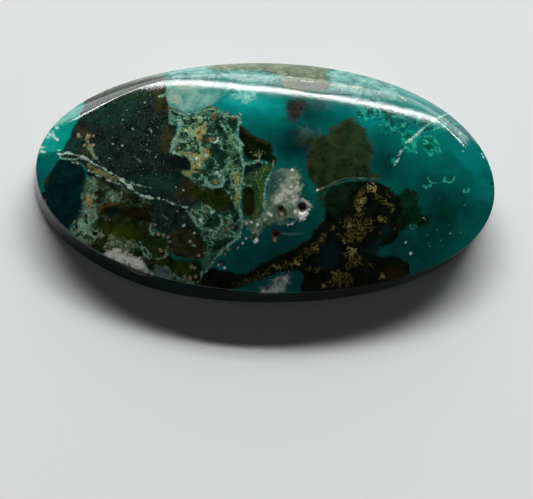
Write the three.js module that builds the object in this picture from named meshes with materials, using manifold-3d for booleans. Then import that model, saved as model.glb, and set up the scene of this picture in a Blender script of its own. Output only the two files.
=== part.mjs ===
import * as THREE from "three";
import { mergeVertices } from "three/addons/utils/BufferGeometryUtils.js";
import Module from "manifold-3d";

// A polished oval cabochon cut from chrysocolla and chalcedony. It is one solid
// stone: a flat back, a wall that rises to a crisp girdle, and a low dome with a
// rounded shoulder. Sizes are in millimetres, +X runs along the long axis, +Z is up,
// and the flat back lies on Z = 0.

// The girdle is the widest line round the stone, where the wall meets the dome.
const HALF_LENGTH = 11.773;
const HALF_WIDTH = 6.455;
const GIRDLE_HEIGHT = 1.7;

// The hand-cut outline is slightly uneven: [waves round the stone, cosine, sine].
const OUTLINE_WAVES = [
  [3, -0.0062, -0.0048],
  [4, -0.0054, -0.0056],
];

// The dome is a shallow crown, highest a little off the middle. On the far side it has
// a soft crest where the crown ends and a steeper shoulder runs down to the girdle. The
// shoulder takes a share of the rise, over a width given as a part of the way out from
// the crown. Both are greatest at an angle round the stone, in degrees, and fade over
// the spreads on either side of it.
const CROWN_RISE = 1.72;
const CROWN_AT = new THREE.Vector2(1, 0.8);
const SHOULDER_SHARE = { most: 0.352, at: 104, ahead: 39, behind: 78 };
const SHOULDER_WIDTH = { most: 0.403, at: 75, ahead: 44, behind: 24 };
const LEAST_SHOULDER_WIDTH = 0.12;

// The wall leans out towards -X, so the foot sits a little left of the girdle, and it
// swells on the near left side.
const FOOT_HEIGHT = 0.3;
const FOOT_SHIFT = -0.27;
const SWELL = 0.16;
const SWELL_ANGLE = THREE.MathUtils.degToRad(245);
const SWELL_SPREAD = THREE.MathUtils.degToRad(22);

// A small bevel runs round the flat back.
const BACK_BEVEL = 0.42;

const SEGMENTS = 128;
const DOME_RINGS = 17;
const WALL_RINGS = 3;

// Open pits in the polish, from the middle of the girdle: [x, y, radius across, depth].
const PITS = [
  [1.76, -2.36, 0.26, 0.12],
  [0.72, -2.51, 0.19, 0.08],
  [0.51, -3.72, 0.15, 0.07],
  [-0.52, -3.86, 0.12, 0.06],
  [-2.09, -5.22, 0.16, 0.08],
  [-9.12, 1.14, 0.24, 0.09],
  [-9.75, -1.17, 0.2, 0.07],
];

// A chip out of the girdle's edge at the left end: centre and radii.
const CHIP = { at: [-11.3, -2.09, 1.74], radii: [0.2, 0.32, 0.16] };

const STONE_COLOUR = "#1f5f58";

const outlineScale = (angle) =>
  OUTLINE_WAVES.reduce(
    (sum, [waves, cosine, sine]) =>
      sum + cosine * Math.cos(waves * angle) + sine * Math.sin(waves * angle),
    1,
  );

const girdlePoint = (angle) =>
  new THREE.Vector2(HALF_LENGTH * Math.cos(angle), HALF_WIDTH * Math.sin(angle)).multiplyScalar(
    outlineScale(angle),
  );

// The outward direction of the oval, for offsets that keep an even width.
const girdleNormal = (angle) =>
  new THREE.Vector2(Math.cos(angle) / HALF_LENGTH, Math.sin(angle) / HALF_WIDTH).normalize();

const swellAt = (angle) => {
  const away = THREE.MathUtils.euclideanModulo(angle - SWELL_ANGLE + Math.PI, 2 * Math.PI);
  return SWELL * Math.exp(-(((away - Math.PI) / SWELL_SPREAD) ** 2));
};

const footPoint = (angle, inset) => {
  const offset = girdleNormal(angle).multiplyScalar(swellAt(angle) - inset);
  return girdlePoint(angle).add(offset).add(new THREE.Vector2(FOOT_SHIFT, 0));
};

// A soft hump round the stone, full at its angle and fading on either side.
function lobe(angle, { most, at, ahead, behind }) {
  const turn = THREE.MathUtils.radToDeg(angle) - at + 180;
  const away = THREE.MathUtils.euclideanModulo(turn, 360) - 180;
  return most * Math.exp(-((away / (away > 0 ? ahead : behind)) ** 2));
}

// The ratio is 0 at the crown and 1 at the girdle.
function domeHeight(angle, ratio) {
  const share = lobe(angle, SHOULDER_SHARE);
  const width = Math.max(lobe(angle, SHOULDER_WIDTH), LEAST_SHOULDER_WIDTH);
  const shoulder = THREE.MathUtils.clamp((ratio - 1 + width) / width, 0, 1) ** 2;
  return GIRDLE_HEIGHT + CROWN_RISE * (1 - (1 - share) * ratio ** 2 - share * shoulder);
}

const domePoint = (angle, ratio) => [
  ...CROWN_AT.clone().lerp(girdlePoint(angle), ratio),
  domeHeight(angle, ratio),
];

// Each ring is a function of the angle that returns a point, from the back upwards.
function stoneRings() {
  const rings = [
    (angle) => [...footPoint(angle, BACK_BEVEL), 0],
    (angle) => [...footPoint(angle, 0), FOOT_HEIGHT],
  ];
  for (let step = 1; step <= WALL_RINGS; step += 1) {
    const rise = step / WALL_RINGS;
    const height = THREE.MathUtils.lerp(FOOT_HEIGHT, GIRDLE_HEIGHT, rise);
    rings.push((angle) => [...footPoint(angle, 0).lerp(girdlePoint(angle), rise), height]);
  }
  for (let step = 1; step < DOME_RINGS; step += 1) {
    const ratio = Math.cos((step / DOME_RINGS) * (Math.PI / 2));
    rings.push((angle) => domePoint(angle, ratio));
  }
  return rings;
}

// Rings joined by quads, closed by a fan at the back and another at the crown.
function ringedSolid(rings) {
  const points = [];
  const faces = [];
  for (const ring of rings) {
    for (let i = 0; i < SEGMENTS; i += 1) {
      points.push(...ring((i / SEGMENTS) * 2 * Math.PI));
    }
  }
  const backCentre = points.length / 3;
  points.push(FOOT_SHIFT, 0, 0, ...domePoint(0, 0));
  const lastRing = (rings.length - 1) * SEGMENTS;
  for (let i = 0; i < SEGMENTS; i += 1) {
    const next = (i + 1) % SEGMENTS;
    faces.push(backCentre, next, i);
    faces.push(backCentre + 1, lastRing + i, lastRing + next);
    for (let start = 0; start < lastRing; start += SEGMENTS) {
      faces.push(start + i, start + next, start + next + SEGMENTS);
      faces.push(start + i, start + next + SEGMENTS, start + i + SEGMENTS);
    }
  }
  const solid = new THREE.BufferGeometry();
  solid.setAttribute("position", new THREE.Float32BufferAttribute(points, 3));
  solid.setIndex(faces);
  return solid;
}

// The part's origin is under the middle of the stone.
function originUnderMiddle(geometry) {
  geometry.computeBoundingBox();
  const { min, max } = geometry.boundingBox;
  geometry.translate(-(min.x + max.x) / 2, -(min.y + max.y) / 2, -min.z);
  return geometry;
}

// The height of the dome over a point. The ring that passes through the point is closed
// in on step by step, because the rings draw together off centre, towards the crown.
const SEARCH_STEPS = 40;

function surfaceHeight(x, y) {
  let ratio = 0.5;
  let angle = 0;
  for (let step = 0; step < SEARCH_STEPS; step += 1) {
    const across = (x - CROWN_AT.x * (1 - ratio)) / HALF_LENGTH;
    const along = (y - CROWN_AT.y * (1 - ratio)) / HALF_WIDTH;
    angle = Math.atan2(along, across);
    ratio = (ratio + Math.hypot(across, along) / outlineScale(angle)) / 2;
  }
  return domeHeight(angle, Math.min(1, ratio));
}

// A cutter is a squashed ball. A pit's ball stands on the surface and sinks in by its depth.
function ballCutter([x, y, z], radii) {
  const ball = new THREE.IcosahedronGeometry(1, 2);
  ball.scale(...radii);
  ball.translate(x, y, z);
  return ball;
}

const pitCutter = ([x, y, radius, depth]) =>
  ballCutter([x, y, surfaceHeight(x, y)], [radius, radius, depth]);

function toManifold(wasm, geometry) {
  const bare = geometry.clone();
  bare.deleteAttribute("normal");
  bare.deleteAttribute("uv");
  const merged = mergeVertices(bare);
  return new wasm.Manifold(
    new wasm.Mesh({
      numProp: 3,
      vertProperties: new Float32Array(merged.attributes.position.array),
      triVerts: new Uint32Array(merged.index.array),
    }),
  );
}

function toGeometry(solid) {
  const mesh = solid.getMesh();
  const geometry = new THREE.BufferGeometry();
  geometry.setAttribute("position", new THREE.BufferAttribute(mesh.vertProperties, 3));
  geometry.setIndex(new THREE.BufferAttribute(mesh.triVerts, 1));
  geometry.computeVertexNormals();
  return geometry;
}

async function cabochonGeometry() {
  const wasm = await Module();
  wasm.setup();
  let stone = toManifold(wasm, ringedSolid(stoneRings()));
  for (const pit of PITS) {
    stone = stone.subtract(toManifold(wasm, pitCutter(pit)));
  }
  stone = stone.subtract(toManifold(wasm, ballCutter(CHIP.at, CHIP.radii)));
  return originUnderMiddle(toGeometry(stone));
}

const cabochon = new THREE.Mesh(
  await cabochonGeometry(),
  new THREE.MeshStandardMaterial({ color: STONE_COLOUR, roughness: 0.12, metalness: 0 }),
);
cabochon.name = "cabochon";

const group = new THREE.Group();
group.add(cabochon);

export default group;
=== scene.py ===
# %% [markdown]
# # A polished chrysocolla cabochon
#
# This notebook dresses one small stone: an oval cabochon, 23.7 mm long, cut from chrysocolla and
# chalcedony. The shape is simple, so nearly all of the work is in the minerals that show through the
# polish.
#
# Sizes are written in millimetres, the unit a stone cutter uses, and `MM` turns them into Blender's metres.

# %% Load the frame
import math

import bpy
import numpy as np
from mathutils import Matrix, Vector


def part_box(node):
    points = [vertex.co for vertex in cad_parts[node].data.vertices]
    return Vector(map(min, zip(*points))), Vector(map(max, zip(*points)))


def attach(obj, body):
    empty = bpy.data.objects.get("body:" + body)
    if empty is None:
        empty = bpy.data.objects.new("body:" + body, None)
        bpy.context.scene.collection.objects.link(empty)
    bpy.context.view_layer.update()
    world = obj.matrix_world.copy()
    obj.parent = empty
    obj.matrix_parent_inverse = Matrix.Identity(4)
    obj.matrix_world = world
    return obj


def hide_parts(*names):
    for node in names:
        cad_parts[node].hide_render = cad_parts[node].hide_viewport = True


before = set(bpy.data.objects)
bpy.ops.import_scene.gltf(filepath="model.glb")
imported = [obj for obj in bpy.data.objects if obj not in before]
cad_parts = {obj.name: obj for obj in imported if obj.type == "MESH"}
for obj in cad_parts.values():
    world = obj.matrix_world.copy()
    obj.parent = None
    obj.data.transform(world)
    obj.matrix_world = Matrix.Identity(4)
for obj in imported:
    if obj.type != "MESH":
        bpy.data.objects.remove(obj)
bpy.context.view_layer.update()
MM = 0.001

stone_low, stone_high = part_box("cabochon")
print("stone, mm:", [round((high - low) / MM, 2) for low, high in zip(stone_low, stone_high)])

# %% [markdown]
# ## The camera
#
# The stone is seen from above and a little from the near side, through a long lens about 77 mm away. A long
# lens close to a small stone keeps the oval nearly free of perspective, which is why it needs its true
# focal length and not only a true direction. It leans a degree or two as well, as a camera held in the hand
# does.

# %% Camera
CAMERA_AT = (-0.896, -31.471, 70.649)
CAMERA_TILT = 21.58
CAMERA_ROLL = -1.81
CAMERA_TURN = 2.05
FOCAL_LENGTH = 100.17
NEAR_CLIP = 5 * MM
FAR_CLIP = 100

bpy.ops.object.select_all(action="DESELECT")
camera_turns = [math.radians(angle) for angle in (CAMERA_TILT, CAMERA_ROLL, CAMERA_TURN)]
bpy.ops.object.camera_add(location=[v * MM for v in CAMERA_AT], rotation=camera_turns)
camera = bpy.context.object
camera.name = "camera"
camera.data.lens = FOCAL_LENGTH
camera.data.sensor_fit = "HORIZONTAL"
camera.data.clip_start = NEAR_CLIP
camera.data.clip_end = FAR_CLIP
bpy.context.scene.camera = camera
print("camera:", round(math.dist(CAMERA_AT, (0, 0, 0)), 1), "mm from the middle of the back")

# %% [markdown]
# ## The blank
#
# A cabochon starts as a sawn slab. Here it starts as a grid for the polished face, and its edge is extruded
# downwards, row by row, for the wall. One face closes the back, with an inset ring and a fan in it. A grid
# keeps its small squares the same size all over the face, so the fine outlines of the minerals can later be
# stored on its points. A sphere or a fan of rings would crowd its points at a pole and starve the rim.

# %% Slab
TOP_COLUMNS = 366
TOP_ROWS = 202
WALL_ROWS = 12
BACK_RING = 0.03


def sawn_slab(name):
    """A flat box 2 by 2 by 1, gridded on top, with rows round its side and a fan below."""
    bpy.ops.mesh.primitive_grid_add(x_subdivisions=TOP_COLUMNS, y_subdivisions=TOP_ROWS, size=2)
    slab = bpy.context.object
    slab.name = name
    bpy.ops.object.mode_set(mode="EDIT")
    bpy.ops.mesh.select_mode(type="EDGE")
    bpy.ops.mesh.select_all(action="DESELECT")
    bpy.ops.mesh.select_non_manifold(extend=False)
    for _ in range(WALL_ROWS):
        bpy.ops.mesh.extrude_region_move(TRANSFORM_OT_translate={"value": (0, 0, -1 / WALL_ROWS)})
    bpy.ops.mesh.edge_face_add()
    bpy.ops.mesh.select_mode(type="FACE")
    bpy.ops.mesh.inset(thickness=BACK_RING)
    bpy.ops.mesh.poke()
    bpy.ops.mesh.select_mode(type="VERT")
    bpy.ops.mesh.select_all(action="SELECT")
    bpy.ops.mesh.normals_make_consistent(inside=False)
    bpy.ops.object.mode_set(mode="OBJECT")
    return slab


bpy.ops.object.select_all(action="DESELECT")
stone = sawn_slab("polished_stone")
print("slab:", len(stone.data.vertices), "points,", len(stone.data.polygons), "faces")

# %% [markdown]
# ## Grinding the oval and the dome
#
# The cutter grinds the slab to an oval, then rolls it on the wheel until the top is a low dome with a
# rounded shoulder. No edit-mode operator follows such a curve, so the slab's points are moved by the same
# few numbers that describe the real stone: two half widths, the height of the girdle and the rise of the
# dome. A square goes smoothly into a circle if each side is pulled in as the other grows, and the circle is
# then stretched to the oval. The outline is a little uneven, because it was ground by hand, and on the far
# side the wheel left a soft crest.

# %% Sizes of the stone
HALF_LENGTH = 11.773
HALF_WIDTH = 6.455
GIRDLE_HEIGHT = 1.7
FOOT_HEIGHT = 0.3
FOOT_SHIFT = -0.27
BACK_BEVEL = 0.42
CROWN_RISE = 1.72
CROWN_AT = (1.0, 0.8)

# The waves of the uneven outline: how many go round the stone, and their cosine and sine.
OUTLINE_WAVES = [(3, -0.0062, -0.0048), (4, -0.0054, -0.0056)]

# The shoulder and the swell of the wall are greatest at an angle round the stone, in degrees, and fade on
# either side.
SHOULDER_SHARE = {"most": 0.352, "at": 104, "ahead": 39, "behind": 78}
SHOULDER_WIDTH = {"most": 0.403, "at": 75, "ahead": 44, "behind": 24}
LEAST_SHOULDER_WIDTH = 0.12
SWELL = {"most": 0.16, "at": 245, "ahead": 22, "behind": 22}


def outline_scale(angle):
    """How far the hand-cut outline strays from a true oval, as a factor."""
    scale = np.ones_like(angle)
    for waves, cosine, sine in OUTLINE_WAVES:
        scale += cosine * np.cos(waves * angle) + sine * np.sin(waves * angle)
    return scale


def girdle_point(angle):
    """The girdle, the stone's widest line, at an angle round it."""
    scale = outline_scale(angle)
    return HALF_LENGTH * np.cos(angle) * scale, HALF_WIDTH * np.sin(angle) * scale


def girdle_normal(angle):
    """The outward direction of the oval."""
    across, along = np.cos(angle) / HALF_LENGTH, np.sin(angle) / HALF_WIDTH
    length = np.hypot(across, along)
    return across / length, along / length


def lobe(angle, most, at, ahead, behind):
    """A soft hump round the stone, full at its angle, with a width in degrees on either side."""
    away = (np.degrees(angle) - at + 180) % 360 - 180
    return most * np.exp(-((away / np.where(away > 0, ahead, behind)) ** 2))


def dome_height(angle, ratio):
    """Height of the dome. The ratio is 0 at the crown and 1 at the girdle."""
    share = lobe(angle, **SHOULDER_SHARE)
    width = np.maximum(lobe(angle, **SHOULDER_WIDTH), LEAST_SHOULDER_WIDTH)
    shoulder = np.clip((ratio - 1 + width) / width, 0, 1) ** 2
    return GIRDLE_HEIGHT + CROWN_RISE * (1 - (1 - share) * ratio**2 - share * shoulder)


print("the stone is", GIRDLE_HEIGHT + CROWN_RISE, "mm thick")

# %% Grind the slab to shape
corners = np.empty(len(stone.data.vertices) * 3)
stone.data.vertices.foreach_get("co", corners)
u, v, level = corners.reshape(-1, 3).T
row = np.clip(-level, 0, 1)
disc_x = u * np.sqrt(1 - v**2 / 2)
disc_y = v * np.sqrt(1 - u**2 / 2)
ratio = np.clip(np.hypot(disc_x, disc_y), 0, 1)
angle = np.arctan2(disc_y, disc_x)
rim_x, rim_y = girdle_point(angle)
out_x, out_y = girdle_normal(angle)

# The rows that shape the wall, as the row, its height and its inset. Two rows round off the girdle's edge,
# and the last three make the bevel of the back.
GIRDLE_ROUND = 0.05
GIRDLE_HALFWAY = 0.015
BEVEL_EASE = (0.05, 0.06)
WALL_PROFILE = [
    (0, GIRDLE_HEIGHT, GIRDLE_ROUND),
    (1, GIRDLE_HEIGHT - GIRDLE_HALFWAY, GIRDLE_HALFWAY),
    (2, GIRDLE_HEIGHT - GIRDLE_ROUND, 0),
    (WALL_ROWS - 2, FOOT_HEIGHT, 0),
    (WALL_ROWS - 1, BEVEL_EASE[0], BACK_BEVEL - BEVEL_EASE[1]),
    (WALL_ROWS, 0, BACK_BEVEL),
]
wall_rows, row_heights, row_insets = zip(*WALL_PROFILE)
wall_height = np.interp(row * WALL_ROWS, wall_rows, row_heights)
wall_inset = np.interp(row * WALL_ROWS, wall_rows, row_insets)

fall = np.clip((GIRDLE_HEIGHT - wall_height) / (GIRDLE_HEIGHT - FOOT_HEIGHT), 0, 1)
swell = lobe(angle, **SWELL)
edge_x = rim_x + out_x * (swell * fall - wall_inset) + FOOT_SHIFT * fall
edge_y = rim_y + out_y * (swell * fall - wall_inset)
on_top = row < 0.5 / WALL_ROWS
crown_x, crown_y = CROWN_AT
x = np.where(on_top, crown_x + (edge_x - crown_x) * ratio, edge_x * ratio)
y = np.where(on_top, crown_y + (edge_y - crown_y) * ratio, edge_y * ratio)
z = np.where(on_top, dome_height(angle, ratio), wall_height)
print("ground, mm:", round(np.ptp(x), 2), round(np.ptp(y), 2), round(np.ptp(z), 2))

# %% [markdown]
# ## Pits and a chip
#
# A few vugs, little holes that the wheel opened, are left in the polish, and the girdle is chipped once at
# the left end. Each is real relief, so it is pressed into the points and not only drawn: a pit is a shallow
# bowl, deepest in its middle. A boolean cut would give the same bowl, but it would also leave thin
# triangles round it, which show in so glossy a surface.

# %% Press in the pits
# Each pit is a place, a radius across and a depth.
PITS = [
    (1.76, -2.36, 0.26, 0.12),
    (0.72, -2.51, 0.19, 0.08),
    (0.51, -3.72, 0.15, 0.07),
    (-0.52, -3.86, 0.12, 0.06),
    (-2.09, -5.22, 0.16, 0.08),
    (-9.12, 1.14, 0.24, 0.015),
    (-9.75, -1.17, 0.2, 0.012),
]
CHIP_AT = (-11.3, -2.09, 1.74)
CHIP_SIZE = (0.2, 0.32, 0.16)
CHIP_INSET = 0.1
CHIP_DROP = 0.08

for pit_x, pit_y, pit_radius, pit_depth in PITS:
    from_pit = np.hypot(x - pit_x, y - pit_y) / pit_radius
    bowl = pit_depth * np.sqrt(np.clip(1 - from_pit**2, 0, 1))
    z = np.where(on_top, z - bowl, z)

chip_x, chip_y, chip_z = [(v - at) / size for v, at, size in zip((x, y, z), CHIP_AT, CHIP_SIZE)]
chip = np.clip(1 - chip_x**2 - chip_y**2 - chip_z**2, 0, 1)
x = x + CHIP_INSET * chip * (out_x < 0)
z = z - CHIP_DROP * chip
print(len(PITS), "pits, and", int((chip > 0).sum()), "points in the chip")

# %% Put the points back
SMOOTH_BELOW = math.radians(28)
middle_x, middle_y = (x.min() + x.max()) / 2, (y.min() + y.max()) / 2
x, y = x - middle_x, y - middle_y
stone.data.vertices.foreach_set("co", (np.stack([x, y, z], axis=1) * MM).ravel())
stone.data.update()
bpy.ops.object.shade_smooth_by_angle(angle=SMOOTH_BELOW)
stone_look = bpy.data.materials.new("chrysocolla polish")
stone_look.use_nodes = True
stone.data.materials.append(stone_look)
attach(stone, "root")
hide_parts("cabochon")
print("the origin is under the middle of the stone, moved by", round(middle_x, 3), round(middle_y, 3), "mm")

# %% [markdown]
# ## A plan for the minerals
#
# Every mineral in the stone has its own place, so a random texture alone would not look like this stone.
# Each one is drawn as an outline, a line or a few dots on a plan of the stone in millimetres. What
# is stored on each point of the mesh isn't a colour but a distance: how far inside the mineral's edge the
# point is. The material can then wear that edge with noise far finer than the mesh, and the edge stays
# crisp in a close view.
#
# The plan was drawn from the camera's side, over a smooth even dome, so it leans back with the height by
# which the true dome differs from that one. The wall is folded out flat beyond the girdle, so an outline
# that runs over the girdle goes on down the wall, as the real layers of the stone do.

# %% Plan of the stone
REACH = 1.5
LEAN = 0.4
EVEN_RISE = 1.15
EVEN_SHOULDER = 0.3
EVEN_SHOULDER_POWER = 20
CORNER_CUT = 0.25
below_girdle = np.where(on_top, 0, GIRDLE_HEIGHT - z)
even_dome = GIRDLE_HEIGHT + EVEN_RISE * (1 - ratio**2) + EVEN_SHOULDER * (1 - ratio**EVEN_SHOULDER_POWER)
plan = np.stack(
    [
        np.where(on_top, x, rim_x - middle_x + out_x * below_girdle),
        np.where(on_top, y + LEAN * (z - even_dome), rim_y - middle_y + out_y * below_girdle),
    ],
    axis=1,
)


def rounded(path, closed):
    """The path with each corner cut once, because nothing in the stone has straight sides."""
    path = np.array(path, dtype=float)
    ahead = np.roll(path, -1, axis=0) if closed else path[1:]
    here = path if closed else path[:-1]
    keep = 1 - CORNER_CUT
    cut = np.stack([keep * here + CORNER_CUT * ahead, CORNER_CUT * here + keep * ahead], axis=1)
    cut = cut.reshape(-1, path.shape[1])
    return cut if closed else np.vstack([path[:1], cut, path[-1:]])


def near(path):
    """Which points of the plan lie close enough to a path to be worth measuring."""
    return ((plan > path.min(axis=0) - REACH) & (plan < path.max(axis=0) + REACH)).all(axis=1)


def way_to(spots, start, end):
    """How far along one piece of a path each spot lies, as a share, and how far off it in mm."""
    step = end - start
    share = np.clip((spots - start) @ step / max(step @ step, 1e-9), 0, 1)
    gap = spots - start - share[:, None] * step
    return share, np.hypot(gap[:, 0], gap[:, 1])


def inside(outline):
    """Distance in mm inside a closed outline, and below 0 outside it."""
    path = rounded(outline, closed=True)
    close = near(path)
    spots = plan[close]
    nearest = np.full(len(spots), REACH)
    within = np.zeros(len(spots), dtype=bool)
    for start, end in zip(path, np.roll(path, -1, axis=0)):
        nearest = np.minimum(nearest, way_to(spots, start, end)[1])
        step = end - start
        if step[1]:
            crosses = (start[1] > spots[:, 1]) != (end[1] > spots[:, 1])
            within ^= crosses & (spots[:, 0] < start[0] + (spots[:, 1] - start[1]) * step[0] / step[1])
    distance = np.full(len(plan), -REACH)
    distance[close] = np.where(within, nearest, -nearest)
    return distance


def along(path, width):
    """Distance in mm inside a vein of a width, one number or one for each point, drawn along a path."""
    widths = np.broadcast_to(width, len(path))
    path = rounded([(*spot, w) for spot, w in zip(path, widths)], closed=False)
    close = near(path[:, :2])
    spots = plan[close]
    best = np.full(len(spots), -REACH)
    for start, end in zip(path[:-1], path[1:]):
        share, gap = way_to(spots, start[:2], end[:2])
        half = 0.5 * (start[2] + share * (end[2] - start[2]))
        best = np.maximum(best, half - gap)
    distance = np.full(len(plan), -REACH)
    distance[close] = best
    return distance


def dots(spots):
    """Distance in mm inside round dots, each given as x, y and radius."""
    distance = np.full(len(plan), -REACH)
    for dot_x, dot_y, radius in spots:
        distance = np.maximum(distance, radius - np.hypot(plan[:, 0] - dot_x, plan[:, 1] - dot_y))
    return distance


def either(*distances):
    """Several drawings taken as one."""
    return np.maximum.reduce(distances)


def outlined(outlines):
    """Distance in mm inside any of several outlines."""
    return either(*[inside(outline) for outline in outlines])


def drawn(lines):
    """Distance in mm inside any of several lines, each given as a width and a path."""
    return either(*[along(path, width) for width, path in lines])


print("plan, mm:", round(np.ptp(plan[:, 0]), 1), "by", round(np.ptp(plan[:, 1]), 1))

# %% [markdown]
# ## Textures that the minerals share
#
# Real chrysocolla looks alike at every scale: clouds, patches and mottling, crowded chips, tangled cracks
# filled with a paler mineral, thin wavy lines like lace, short worm-like threads, pale flecks and fine
# grain. Each of these is worked out once, in millimetres, and lent to any mineral that needs it. That is
# quicker to render than a texture for each mineral. They also belong together, because all of them read the
# same swirled coordinates and so bend round the same knots.

# %% Node helpers
SWIRLS_PER_MM = 1.1
SWIRL_REACH = 0.8

tree = stone_look.node_tree
shader = tree.nodes["Principled BSDF"]
textures = {}


def wire(kind, sockets, **settings):
    """Add a node to the stone's material, with links or plain values for its sockets."""
    node = tree.nodes.new(kind)
    for setting, value in settings.items():
        setattr(node, setting, value)
    for socket, value in sockets.items():
        if isinstance(value, bpy.types.NodeSocket):
            tree.links.new(value, node.inputs[socket])
        else:
            node.inputs[socket].default_value = value
    return node


def fit(value, low, high, start=0.0, end=1.0):
    """Stretch a value from low..high to start..end, and hold it there."""
    sockets = {0: value, 1: low, 2: high, 3: start, 4: end}
    return wire("ShaderNodeMapRange", sockets, interpolation_type="SMOOTHSTEP", clamp=False).outputs[0]


place = wire("ShaderNodeTexCoord", {}).outputs["Object"]
in_mm = wire("ShaderNodeVectorMath", {0: place, "Scale": 1 / MM}, operation="SCALE").outputs[0]
swirl = wire("ShaderNodeTexNoise", {"Vector": in_mm, "Scale": SWIRLS_PER_MM, "Detail": 3}).outputs["Color"]
swirl_parts = wire("ShaderNodeSeparateColor", {0: swirl}).outputs
swirl_way = wire("ShaderNodeCombineXYZ", {0: swirl_parts[0], 1: swirl_parts[1], 2: swirl_parts[2]}).outputs[0]
swirl_sockets = {0: swirl_way, 1: (SWIRL_REACH, SWIRL_REACH, SWIRL_REACH), 2: in_mm}
bent = wire("ShaderNodeVectorMath", swirl_sockets, operation="MULTIPLY_ADD").outputs[0]

print("the swirl moves a texture by up to", SWIRL_REACH, "mm")

# %% Textures
RIDGE_ROUGHNESS = 0.55
FLECKS_PER_MM = 7.5
FLECK_CHANCE = 0.72
FLECK_SIZE = 0.34
FLECK_EDGE = 0.1


def noise(per_mm, detail, rough):
    """A cloudy noise in the swirled coordinates, with so many lumps to the millimetre."""
    sockets = {"Vector": bent, "Scale": per_mm, "Detail": detail, "Roughness": rough}
    return wire("ShaderNodeTexNoise", sockets).outputs["Fac"]


def cells(per_mm):
    """Crowded cells, each with a colour of its own."""
    return wire("ShaderNodeTexVoronoi", {"Vector": bent, "Scale": per_mm})


def ridges(per_mm, detail, thin, thick):
    """Thin wandering lines, where a smooth noise passes its middle."""
    wave = noise(per_mm, detail, RIDGE_ROUGHNESS)
    from_wave = wire("ShaderNodeMath", {0: wave, 1: 0.5}, operation="SUBTRACT").outputs[0]
    gap = wire("ShaderNodeMath", {0: from_wave}, operation="ABSOLUTE").outputs[0]
    return fit(gap, thin, thick, 1, 0)


def broken(lines, by):
    """Lines that come and go with another texture."""
    return wire("ShaderNodeMath", {0: lines, 1: textures[by]}, operation="MULTIPLY").outputs[0]


def tones(per_mm):
    """Crowded cells, each with one tone from 0 to 1."""
    return wire("ShaderNodeSeparateColor", {0: cells(per_mm).outputs["Color"]}).outputs[1]


# A noise has so many lumps to the millimetre, a detail and a roughness. The two numbers after it are the
# part of its range that is stretched from 0 to 1.
textures["cloud"] = fit(noise(0.6, 3, 0.5), 0.32, 0.68)
textures["patches"] = fit(noise(1.1, 4, 0.6), 0.42, 0.6)
textures["mottle"] = fit(noise(1.9, 5, 0.62), 0.32, 0.68)
textures["ragged"] = fit(noise(3.4, 4, 0.68), 0.2, 0.8)
textures["grain"] = fit(noise(8.5, 3, 0.6), 0.32, 0.68)
textures["grit"] = fit(noise(13, 2, 0.5), 0.5, 0.72)
textures["shards"] = tones(1.9)
textures["chips"] = tones(4.6)
textures["holes"] = fit(textures["chips"], 0.42, 0.62, 1, 0)
textures["tangle"] = broken(ridges(2.1, 4, 0.008, 0.06), "mottle")
textures["lace"] = ridges(1.6, 4, 0.003, 0.028)
textures["worms"] = ridges(4.6, 2, 0.01, 0.11)

# A fleck stands in a few of the smallest cells, and is larger where the cell's tone is higher.
flecks = cells(FLECKS_PER_MM)
fleck_tone = wire("ShaderNodeSeparateColor", {0: flecks.outputs["Color"]}).outputs[0]
fleck_size = fit(fleck_tone, FLECK_CHANCE, 1, 0, FLECK_SIZE)
fleck_sockets = {0: fleck_size, 1: flecks.outputs["Distance"]}
fleck_gap = wire("ShaderNodeMath", fleck_sockets, operation="SUBTRACT").outputs[0]
textures["flecks"] = fit(fleck_gap, 0, FLECK_EDGE)
print("textures:", ", ".join(textures))

# %% [markdown]
# ## Laying one mineral over another
#
# All the minerals are laid in the same way, so that is one node group, built once and used for each. It
# takes the stored distance, frays it with a ragged texture, and turns it into a soft or a hard edge. Inside
# the edge it mixes the mineral's dark and light colours by a texture, and lays the result over what was
# there before. `surface` lists the colours laid so far, the last one on top.

# %% Mineral group
def mineral_group():
    """A group that lays one mineral over the colour below it, and gives the new colour and the mask."""
    group = bpy.data.node_groups.new("mineral layer", "ShaderNodeTree")
    for name in ("Below", "Dark", "Light"):
        group.interface.new_socket(name, in_out="INPUT", socket_type="NodeSocketColor")
    for name in ("Tone", "Distance", "Ragged", "Fray", "Softness", "Cover"):
        group.interface.new_socket(name, in_out="INPUT", socket_type="NodeSocketFloat")
    group.interface.new_socket("Colour", in_out="OUTPUT", socket_type="NodeSocketColor")
    group.interface.new_socket("Mask", in_out="OUTPUT", socket_type="NodeSocketFloat")
    taken = group.nodes.new("NodeGroupInput").outputs
    given = group.nodes.new("NodeGroupOutput").inputs

    def worked(operation, *values):
        node = group.nodes.new("ShaderNodeMath")
        node.operation = operation
        for socket, value in zip(node.inputs, values):
            if isinstance(value, float):
                socket.default_value = value
            else:
                group.links.new(value, socket)
        return node.outputs[0]

    def mixed(factor, first, second):
        node = group.nodes.new("ShaderNodeMix")
        node.data_type = "RGBA"
        for socket, value in zip((node.inputs[0], node.inputs[6], node.inputs[7]), (factor, first, second)):
            group.links.new(value, socket)
        return node.outputs[2]

    wear = worked("SUBTRACT", taken["Ragged"], 0.5)
    frayed = worked("MULTIPLY_ADD", wear, taken["Fray"], taken["Distance"])
    outer = worked("MULTIPLY", taken["Softness"], -0.5)
    inner = worked("MULTIPLY", taken["Softness"], 0.5)
    edge = group.nodes.new("ShaderNodeMapRange")
    edge.interpolation_type = "SMOOTHSTEP"
    edge.clamp = False
    group.links.new(frayed, edge.inputs["Value"])
    group.links.new(outer, edge.inputs["From Min"])
    group.links.new(inner, edge.inputs["From Max"])
    mask = worked("MULTIPLY", edge.outputs[0], taken["Cover"])
    colour = mixed(taken["Tone"], taken["Dark"], taken["Light"])
    group.links.new(mixed(mask, taken["Below"], colour), given["Colour"])
    group.links.new(mask, given["Mask"])
    return group


layer_group = mineral_group()
surface = []
masks = {}


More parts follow.
